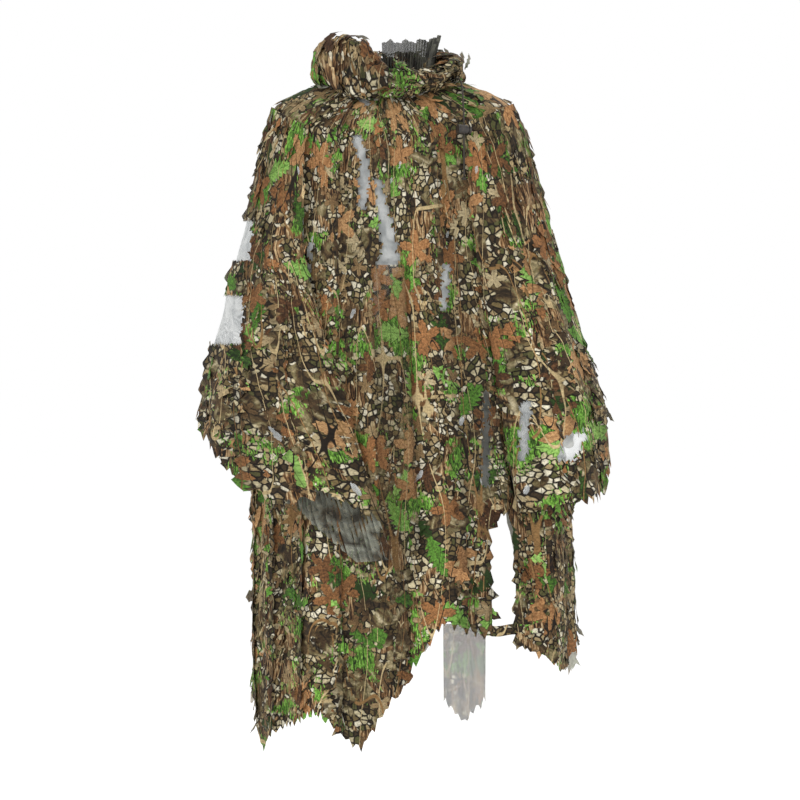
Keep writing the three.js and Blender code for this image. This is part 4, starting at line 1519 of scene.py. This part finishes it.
@dataclass
class PonchoBody:
    """The netting tube from the neck to the hem, and the printed strips on it.

    Places across are in strips from the centre front. The open slit in the left of the
    front starts as one edge at the arm's front and widens to two over slit_drops; the net
    stands back from the arm's front by net_slit on its two sides.
    """

    half_strip: float = 0.5
    side_strips: int = 5
    arm_front: float = 2.5
    arm_back: float = 7.5
    strip_top: float = 0.003
    middle_overlap: float = 0.10
    panel_lap: float = 0.01
    seam_allowance: float = 0.002
    slit_drops: tuple[float, float] = (0.70, 0.74)
    slit_front: float = 2.04
    slit_back: float = 2.76
    net_slit: tuple[float, float] = (0.45, 0.25)
    cover_margin: float = 0.05
    inner_edge: float = 1.5

    def slit_side(self, place: float) -> Edge:
        """One side of the open slit: the arm's front edge, and lower down a place of its own."""
        return lambda drop: np.interp(drop, self.slit_drops, (self.arm_front, place))

    def panels(self) -> list[Netting]:
        """The net panels."""
        low = DRAPE.drop_at_level(DRAPE.underarm_level)
        shoulder = edge(DRAPE.drop_at_level(DRAPE.shoulder_level) - self.seam_allowance)
        near, far, lap = self.arm_front, self.arm_back, self.panel_lap
        round_ = DRAPE.strips_round
        whole = (("front_right", -near, lap, 0.0), ("front_left", -lap, near - self.net_slit[0], 0.0),
                 ("back", far, round_ - far, 0.0), ("side_right", -far, -near, low),
                 ("side_left", near + self.net_slit[1], far, low))
        return [
            *(Netting("net_" + name, body_surface, first, last, top, net_hem_drop)
              for name, first, last, top in whole),
            Netting("net_shoulder_right", body_surface, -far, -near, 0.0, shoulder, SHOULDER_SPACING),
            Netting("net_shoulder_left", body_surface, near, far, 0.0, shoulder, SHOULDER_SPACING),
        ]

    def front_strips(self) -> list[Strip]:
        """The four strips across the front, which overlap at the middle."""
        middle, inner = self.middle_overlap, self.inner_edge
        laid = (("right_outer", edge(-self.arm_front), edge(-inner), (BEHIND_CUFF,)),
                ("right_inner", edge(-inner), edge(middle), (BEHIND_PLACKET, BEHIND_CUFF)),
                ("left_inner", edge(-middle), edge(inner), (BEHIND_PLACKET,)),
                ("left_outer", edge(inner), self.slit_side(self.slit_front), ()))
        return [Strip("front_strip_" + name, body_surface, left, right, self.strip_top, hem_drop,
                      openings=FRONT_SLITS, bare=bare) for name, left, right, bare in laid]

    def lower_strips(self) -> list[Strip]:
        """The strips under the arms and down the back."""
        low, half = DRAPE.drop_at_level(DRAPE.underarm_level), self.half_strip
        made = []
        for number in range(1, self.side_strips + 1):
            side, back = self.arm_front - half + number, self.arm_back - half + number
            front = self.slit_side(self.slit_back) if number == 1 else edge(side - half)
            for name, left, right, top in (
                    ("side_strip_right", edge(-side - half), edge(-side + half), low),
                    ("side_strip_left", front, edge(side + half), low),
                    ("back_strip", edge(back - half), edge(back + half), self.strip_top)):
                made.append(Strip(f"{name}_{number}", body_surface, left, right, top, hem_drop))
        return made

    def shoulder_covers(self) -> list[Strip]:
        """The printed covers on the shoulders."""
        seam = edge(DRAPE.drop_at_level(DRAPE.shoulder_level) + 2 * self.seam_allowance)
        near, far = self.arm_front - self.cover_margin, self.arm_back + self.cover_margin
        return [Strip("shoulder_cover_" + name, body_surface, edge(left), edge(right), self.strip_top,
                      seam, SHOULDER_SPACING, overlap=0.002)
                for name, left, right in (("right", -far, -near), ("left", near, far))]

    def build(self, outfitter: Outfitter) -> None:
        """Adds the body's netting and strips."""
        finishes = outfitter.finishes
        for panel in self.panels():
            outfitter.sew_net(panel, finishes.netting)
        for strip in (*self.front_strips(), *self.lower_strips(), *self.shoulder_covers()):
            outfitter.sew_strip(strip, finishes.leaf_print)


@dataclass
class BellSleeve:
    """One bell sleeve: its netting, its underside and its printed strips."""

    name: str
    shape: SleeveShape
    joint: SleeveJoint
    openings: tuple[Opening, ...] = ()
    bare: tuple[Opening, ...] = ()
    cuff_pleats: float = 0.0040
    seam_allowance: float = 0.001

    def mouth_drop(self, heights: Sequence[float], inset: float = 0.0) -> Edge:
        """The length down to the mouth, less an inset, at places round the sleeve."""
        return lambda across: DRAPE.drop_at_height(self.shape.mouth_height(across, heights)) - inset

    def build(self, outfitter: Outfitter) -> None:
        """Adds the sleeve."""
        finishes, shape = outfitter.finishes, self.shape
        top = DRAPE.drop_at_level(DRAPE.shoulder_level) + self.seam_allowance
        low = DRAPE.drop_at_level(DRAPE.underarm_level)
        surface, turned = sleeve_surface(shape), shape.side < 0
        outer = Netting(f"sleeve_{self.name}_top", surface, 0, shape.strips, top,
                        self.mouth_drop(shape.mouth, NET_HEM_INSET), turned=turned)
        inner = Netting(f"sleeve_{self.name}_underside", sleeve_underside(shape), 0, shape.strips, low,
                        self.mouth_drop(shape.net_mouth), pleats=self.cuff_pleats,
                        held=Held.GATHERED, turned=turned)
        outfitter.sew_net(outer, finishes.netting, self.joint.body, self.joint)
        outfitter.sew_net(inner, finishes.gathered_netting, self.joint.body, self.joint)
        for number in range(shape.strips):
            strip = Strip(f"sleeve_{self.name}_strip_{number + 1}", surface, edge(number),
                          edge(number + 1), top, self.mouth_drop(shape.mouth),
                          openings=self.openings, bare=self.bare, turned=turned)
            outfitter.sew_strip(strip, finishes.leaf_print, self.joint.body, self.joint)


@dataclass
class FrontFlaps:
    """The strip that hangs free down the front, the net tail and the hem tape."""

    placket_half: float = 0.46
    placket_top: float = -0.292
    placket_edge_end: float = -0.770
    placket_tip: float = -0.812
    tail_first: float = 1.0
    tail_last: float = 2.0
    tail_top: float = -0.893
    tail_edge_end: float = -1.020
    tail_tip: float = -1.060
    tape_first: float = 1.9
    tape_last: float = 3.35
    tape_top: float = -0.897
    tape_bottom: float = -0.915
    tape_width: float = 0.019
    tape_lift: float = 0.0066

    def placket(self) -> Strip:
        """The free strip, with the opening that shows the netting behind it."""
        def end(index: Array) -> Array:
            """The length down to the strip's pointed end."""
            share = np.clip(1 - np.abs(index) / self.placket_half, 0, 1)
            return DRAPE.drop_at_height(
                self.placket_edge_end + (self.placket_tip - self.placket_edge_end) * share)

        return Strip("front_placket", body_surface, edge(-self.placket_half),
                     edge(self.placket_half), float(DRAPE.drop_at_height(self.placket_top)), end,
                     openings=(PLACKET_OPENING,), lift=0.0100, tooth=0.004, overlap=0.0)

    def tail(self) -> Netting:
        """The net tail."""
        def end(index: Array) -> Array:
            """The length down to the tail's pointed end."""
            share = 1 - np.abs(index - (self.tail_first + self.tail_last) / 2) * 2
            point = (self.tail_tip - self.tail_edge_end) * share + crumple(TAIL_HEM, index)
            return DRAPE.drop_at_height(self.tail_edge_end + point)

        return Netting("net_tail", body_surface, self.tail_first, self.tail_last,
                       float(DRAPE.drop_at_height(self.tail_top)), end, pleats=0.0050, pleat_turn=21)

    def tape(self, material: bpy.types.Material) -> bpy.types.Object:
        """The tape across the foot of the open slit, with its rolled edges."""
        place = np.linspace(self.tape_first, self.tape_last, 29)[None, :]
        share = np.linspace(0, 1, 7)[:, None]
        top, bottom = DRAPE.drop_at_height(self.tape_top), DRAPE.drop_at_height(self.tape_bottom)
        drop = top + (bottom - top) * share + 0.0015 * np.sin(place * 9)
        crown = 0.0014 * np.sin(math.pi * share)
        points = body_surface(place, drop, self.tape_lift + crown)
        return sheet_object("hem_tape_cloth", points, roll_places(place * STRIP_WIDTH, drop), 1.0,
                            material)

    def build(self, outfitter: Outfitter) -> None:
        """Adds the flaps."""
        finishes = outfitter.finishes
        outfitter.sew_strip(self.placket(), finishes.sheer_print, Body.PLACKET, leafy=False)
        outfitter.sew_net(self.tail(), finishes.faded_print, Body.TAIL)
        length = (self.tape_last - self.tape_first) * STRIP_WIDTH
        outfitter.declare(self.tape(finishes.leaf_print), "hem_tape", "leaf_print", Body.GARMENT,
                          None, (length, self.tape_width), Held.HUNG)


@dataclass
class Hood:
    """The hood, rolled down round the neck, with its lining and the neck's binding."""

    inner_reach: float = -0.008
    outer_reach: float = 0.046
    front_gap: float = 0.3
    right_lap: float = 0.55
    left_lap: float = 0.10
    back_gap: float = 0.03
    seat_clearance: float = 0.0056
    right_tops: tuple[float, ...] = (
        0.070, 0.086, 0.096, 0.094, 0.088, 0.084, 0.080, 0.078, 0.080, 0.082, 0.082)
    left_tops: tuple[float, ...] = (
        0.062, 0.044, 0.038, 0.042, 0.056, 0.068, 0.074, 0.078, 0.080, 0.082, 0.082)
    girth: float = 0.170
    spacing: float = 0.033
    wrinkle: float = 0.0042
    squareness: float = 0.85
    roll_mesh: tuple[int, int] = (56, 150)
    end_closing: float = 0.12
    leaf_count: int = 230
    leaf_scale: float = 0.85
    roll_flat: tuple[float, float] = (0.42, 1.15 * girth)
    lining_flat: tuple[float, float] = (0.60, 0.095)
    band_flat: tuple[float, float] = (0.56, 0.026)
    lining_first: float = 4.0
    lining_last: float = 11.0
    lining_top: float = 0.103
    band_height: float = 0.012
    band_spacing: float = 0.027

    def point(self, index: Array, reach: Array, height: Array) -> Array:
        """Points beside the neck opening, a reach out from its edge and at a height.

        Args:
            index: places round the neck.
            reach: how far out from the opening's edge they are.
            height: their heights.

        Returns:
            An array of points, one row each.
        """
        angle = DRAPE.angle(index)
        x = DRAPE.middle_x[0] + (DRAPE.half_width[0] + reach) * np.sin(angle)
        y = -(DRAPE.half_depth[0] + reach) * np.cos(angle)
        return np.stack(np.broadcast_arrays(x, y, height), axis=-1)

    def seat(self, index: Array, reach: Array) -> Array:
        """The shoulder's height under a reach.

        Args:
            index: places round the neck.
            reach: how far out from the opening's edge they are.

        Returns:
            The heights, with the clearance.
        """
        step = DRAPE.half_width[1] - DRAPE.half_width[0]
        level = np.clip(reach / step, 0, None)
        return DRAPE.face(index, level)[..., 2] + self.seat_clearance

    def surface(self, across: Array, drop: Array, lift: Array) -> Array:
        """Points on the roll, a length round its section from the inside of its foot.

        Args:
            across: places round the neck.
            drop: lengths round the section.
            lift: how far they stand out from it.

        Returns:
            An array of points, one row each.
        """
        across, drop, lift = np.broadcast_arrays(across, drop, lift)
        turn = 2 * math.pi * drop / self.girth
        ring = np.concatenate([self.right_tops[:0:-1], self.left_tops])
        top = np.interp(across, np.arange(-10, 11), ring)
        half_reach = (self.outer_reach - self.inner_reach) / 2
        centre = self.inner_reach + half_reach
        foot = self.seat(across, np.full(across.shape, centre))
        half_height = (top - foot) / 2
        out, rise = (np.sign(part) * np.abs(part) ** self.squareness
                     for part in (-np.cos(turn), np.sin(turn)))
        reach = centre + out * (half_reach + lift)
        height = foot + half_height + rise * (half_height + lift)
        return self.point(across, reach, np.maximum(height, self.seat(across, reach) + 0.001))

    def folds(self, index: Array, drop: Array) -> Array:
        """How far the roll's folds stand out."""
        return self.wrinkle * crumple(HOOD_FOLDS, index, drop) - 0.003

    def roll(self, side: int, finishes: Finishes, offset: Array) -> bpy.types.Object:
        """One half of the roll.

        Args:
            side: 1 for the left half, -1 for the right.
            finishes: the poncho's finishes.
            offset: where it was cut from the print roll.

        Returns:
            The new object.
        """
        rows, columns = self.roll_mesh
        front = -self.right_lap if side < 0 else -self.left_lap
        index = side * np.linspace(front, 10 - self.back_gap, columns + 1)[None, :]
        index = index if side > 0 else index[:, ::-1]
        drop = self.girth * np.linspace(0, 1, rows + 1)[:, None]
        close = np.sin(math.pi * np.linspace(0, 1, columns + 1))[None, :] ** self.end_closing
        under = 0.0 if side < 0 else -0.0025
        lift = self.folds(index, drop) * close - 0.012 * (1 - close) + under
        # Its shade is painted light and shade: the roll is lighter where its folds stand out and darker
        # in their hollows.
        return sheet_object(
            "hood_roll_left" if side > 0 else "hood_roll_right", self.surface(index, drop, lift),
            roll_places(index * self.spacing, drop) + offset,
            0.84 + 34 * np.clip(lift, -0.009, 0.008), finishes.leaf_print)

    def leaves(self, side: int, outfitter: Outfitter, offset: Array) -> bpy.types.Object:
        """The leaves cut loose over one half of the roll.

        Args:
            side: 1 for the left half, -1 for the right.
            outfitter: who cuts them.
            offset: where the half was cut from the print roll.

        Returns:
            The new object.
        """
        data, rng = MeshData(), outfitter.rng
        for _ in range(self.leaf_count):
            index = side * rng.uniform(self.front_gap + 0.2, 10 - self.back_gap - 0.2)
            drop = rng.uniform(0.08, 0.86) * self.girth
            lift = float(self.folds(np.array(index), np.array(drop)))
            outer = drop > 0.5 * self.girth
            turn = rng.uniform(-1.3, 1.3) if outer else math.pi + rng.uniform(-1, 1)
            outfitter.cutter.leaf(data, self.surface, (index, drop), self.spacing, lift, turn, offset,
                                  self.leaf_scale)
        return data.build("leaves_hood_left" if side > 0 else "leaves_hood_right",
                          outfitter.finishes.leaf_print)

    def lining(self, finishes: Finishes) -> bpy.types.Object:
        """The pleated net lining that stands up inside the roll at the back."""
        index = np.linspace(self.lining_first, self.lining_last, 241)[None, :]
        share = np.linspace(0, 1, 17)[:, None]
        foot = self.seat(index, np.zeros(index.shape)) + 0.006
        corner = 0.02 * np.exp(-((index - self.lining_first) / 0.5) ** 2)
        top = self.lining_top + crumple(LINING_TOP, index) - corner
        height = top + (foot - top) * share
        pleat = 0.0035 * np.sin(index * 26 + 2 * np.sin(share * 3)) * (1 - 0.4 * share)
        lean = 0.010 * (1 - share) ** 2
        points = self.point(index, self.inner_reach - 0.004 + pleat + lean, height)
        places = roll_places(index * self.spacing * 2, height)
        return sheet_object("hood_lining_net", points, places, 1.0, finishes.lining_netting)

    def band(self, finishes: Finishes) -> bpy.types.Object:
        """The binding round the neck opening."""
        index = np.linspace(self.front_gap, DRAPE.strips_round - self.front_gap, 201)[None, :]
        around = np.linspace(0, 2 * math.pi, 11)[:, None]
        half = self.band_height / 2
        top = self.seat(index, np.zeros(index.shape)) - half
        pucker = 0.0004 * np.sin(index * 40)
        reach = -0.0010 + (0.0009 + pucker) * np.cos(around)
        height = top + half * np.sin(around)
        points = self.point(index, reach, height)
        places = roll_places(index * self.band_spacing, height)
        return sheet_object("neck_binding", points, places, 1.0, finishes.binding)

    def build(self, outfitter: Outfitter) -> None:
        """Adds the hood."""
        finishes = outfitter.finishes
        for side, node in ((1, "hood_left"), (-1, "hood_right")):
            offset = outfitter.rng.uniform(0, 3, 2)
            roll = self.roll(side, finishes, offset)
            leaves = self.leaves(side, outfitter, offset)
            outfitter.declare(roll, node, "leaf_print", Body.GARMENT, None, self.roll_flat,
                              Held.GATHERED, [leaves])
        for piece, node, slot, flat in (
                (self.lining(finishes), "hood_lining", "netting", self.lining_flat),
                (self.band(finishes), "neck_band", "binding", self.band_flat)):
            outfitter.declare(piece, node, slot, Body.GARMENT, None, flat, Held.GATHERED)


@dataclass
class Drawcord:
    """The hood's drawcord with its knot, its eyelet and the cord lock."""

    route: tuple[tuple[float, float, float], ...] = (
        (0.1092, -0.0434, 0.0271), (0.1135, -0.0455, 0.0265), (0.1195, -0.058, 0.015),
        (0.125, -0.086, -0.014), (0.1295, -0.112, -0.045), (0.1324, -0.132, -0.143))
    diameter: float = 0.003
    knot_strand: float = 0.001364
    knot_size: float = 0.0011
    knot_depth: float = 0.0012
    bevel: float = 0.0004

    def centreline(self) -> list[Vector]:
        """Points along the cord's middle, smooth down to the lock and straight below it."""
        points = [Vector(point) for point in self.route]
        smooth = []
        for number in range(len(points) - 2):
            before = points[max(number - 1, 0)]
            first, second = points[number], points[number + 1]
            after = points[min(number + 2, len(points) - 2)]
            square = 2 * before - 5 * first + 4 * second - after
            cube = 3 * first - before - 3 * second + after
            for share in (step / 6 for step in range(6)):
                smooth.append(0.5 * (2 * first + (second - before) * share + square * share ** 2
                                     + cube * share ** 3))
        for step in range(9):
            smooth.append(points[-2].lerp(points[-1], step / 8))
        return smooth

    def curve(self, name: str, points: Sequence[Vector], radius: float,
              material: bpy.types.Material) -> bpy.types.Object:
        """A round cord through points.

        Args:
            name: the piece's name.
            points: places along its middle.
            radius: its radius.
            material: its finish.

        Returns:
            The new object.
        """
        data = bpy.data.curves.new(name, "CURVE")
        data.dimensions = "3D"
        data.bevel_depth = radius
        data.bevel_resolution = 4
        spline = data.splines.new("POLY")
        spline.points.add(len(points) - 1)
        for place, point in zip(spline.points, points):
            place.co = (*point, 1)
        data.use_fill_caps = True
        data.materials.append(material)
        return add_object(name, data)

    def knot(self, material: bpy.types.Material) -> bpy.types.Object:
        """The overhand knot at the cord's end, with its short tail."""
        low, high = (np.array(corner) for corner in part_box("cord_knot"))
        middle = Vector((low + high) / 2)
        along = (Vector(self.route[-1]) - Vector(self.route[-2])).normalized()
        side = along.orthogonal().normalized()
        third = along.cross(side)
        points = []
        for step in range(49):
            turn = 2 * math.pi * step / 48
            x = (math.sin(turn) + 2 * math.sin(2 * turn)) * self.knot_size
            y = (math.cos(turn) - 2 * math.cos(2 * turn)) * self.knot_size
            z = -math.sin(3 * turn) * self.knot_depth
            points.append(middle + side * x + third * y + along * z)
        return self.curve("drawcord_knot", points, self.knot_strand, material)

    def build(self, finishes: Finishes) -> None:
        """Adds the cord and finishes its fittings."""
        line = self.centreline()
        length = sum((b - a).length for a, b in zip(line, line[1:]))
        cord = self.curve("drawcord", line, self.diameter / 2, finishes.cord)
        knot = self.knot(finishes.cord)
        for piece in (cord, knot):
            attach(piece, Body.GARMENT.value)
        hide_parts("hood_drawcord")
        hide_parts("cord_knot")
        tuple(self.route[0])
        log.info("drawcord: %.3f m long, rides on %s", length, Body.GARMENT.value)
        for node, material in (("lock_barrel", finishes.plastic), ("lock_plunger", finishes.plastic),
                               ("lock_spring", finishes.spring), ("cord_eyelet", finishes.metal)):
            piece = bpy.data.objects[node]
            for slot in piece.material_slots:
                slot.material = material
            if node in ("lock_barrel", "lock_plunger"):
                bevel = piece.modifiers.new("rounded edges", "BEVEL")
                bevel.width = self.bevel
                bevel.segments = 3
                bevel.limit_method = "ANGLE"
            log.info("%s: finished as %s", node, material.name)


@dataclass
class Studio:
    """The plain pale floor, the soft lights and the camera."""

    target: tuple[float, float, float] = (0.005, 0.0, -0.524)
    distance: float = 5.0
    azimuth: float = 8.0
    elevation: float = 2.0
    view_width: float = 1.389
    floor_z: float = -1.45
    floor_half: float = 30

    def camera(self) -> None:
        """Sets the camera."""
        data = bpy.data.cameras.new("camera")
        data.sensor_width = 36
        data.lens = data.sensor_width * self.distance / self.view_width
        piece = add_object("camera", data)
        turn, rise = math.radians(self.azimuth), math.radians(self.elevation)
        away = Vector((math.sin(turn) * math.cos(rise), -math.cos(turn) * math.cos(rise),
                       math.sin(rise)))
        piece.location = Vector(self.target) + away * self.distance
        piece.rotation_euler = away.to_track_quat("Z", "Y").to_euler()
        bpy.context.scene.camera = piece

    def floor(self) -> None:
        """Lays the pale floor."""
        mesh = bpy.data.meshes.new("floor")
        wide = self.floor_half
        corners = ((-wide, -wide), (wide, -wide), (wide, wide), (-wide, wide))
        mesh.from_pydata([(x, y, self.floor_z) for x, y in corners], [], [(0, 1, 2, 3)])
        material = bpy.data.materials.new("floor_paper")
        material.use_nodes = True
        shader = material.node_tree.nodes["Principled BSDF"]
        shader.inputs["Base Color"].default_value = (1, 1, 1, 1)
        shader.inputs["Roughness"].default_value = 1.0
        shader.inputs["Specular IOR Level"].default_value = 0.0
        mesh.materials.append(material)
        add_object("floor", mesh)

    def light(self, name: str, place: tuple[float, float, float], size: float, power: float) -> None:
        """Adds a soft light that faces the poncho.

        Args:
            name: its name.
            place: where it stands.
            size: its width.
            power: its power in watts.
        """
        data = bpy.data.lights.new(name, "AREA")
        data.shape = "DISK"
        data.size = size
        data.energy = power
        piece = add_object(name, data)
        piece.location = place
        toward = Vector(self.target) - Vector(place)
        piece.rotation_euler = toward.to_track_quat("-Z", "Y").to_euler()

    def build(self) -> None:
        """Sets up the studio."""
        self.camera()
        self.floor()
        world = bpy.data.worlds.new("studio")
        world.use_nodes = True
        world.node_tree.nodes["Background"].inputs["Color"].default_value = (1, 1, 1, 1)
        world.node_tree.nodes["Background"].inputs["Strength"].default_value = 1.0
        bpy.context.scene.world = world
        bpy.context.scene.view_settings.view_transform = "Standard"
        self.light("key", (-1.8, -3.0, 1.8), 1.6, 42)
        self.light("fill", (2.4, -2.6, 0.4), 2.0, 16)
        self.light("rim", (0.6, 2.6, 1.8), 1.6, 30)


def main() -> None:
    """Builds the poncho and the studio."""
    logging.basicConfig(level=logging.INFO, format="%(name)s %(message)s")
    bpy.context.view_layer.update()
    Studio().build()
    finishes = Finishes()
    Drawcord().build(finishes)
    rng = np.random.default_rng(SEED)
    outfitter = Outfitter(finishes, rng, LeafCutter(rng))
    PonchoBody().build(outfitter)
    right_joint = SleeveJoint(Body.SLEEVE_RIGHT, (-0.10, 0, -0.05), (-0.25, 0, -0.30))
    left_joint = SleeveJoint(Body.SLEEVE_LEFT, (0.10, 0, -0.05), (0.25, 0, -0.30))
    BellSleeve("right", RIGHT_SLEEVE, right_joint, RIGHT_SLEEVE_WINDOWS).build(outfitter)
    BellSleeve("left", LEFT_SLEEVE, left_joint, LEFT_SLEEVE_SLITS, (UNDER_LOCK,)).build(outfitter)
    FrontFlaps().build(outfitter)
    Hood().build(outfitter)


if __name__ == "__main__":
    main()
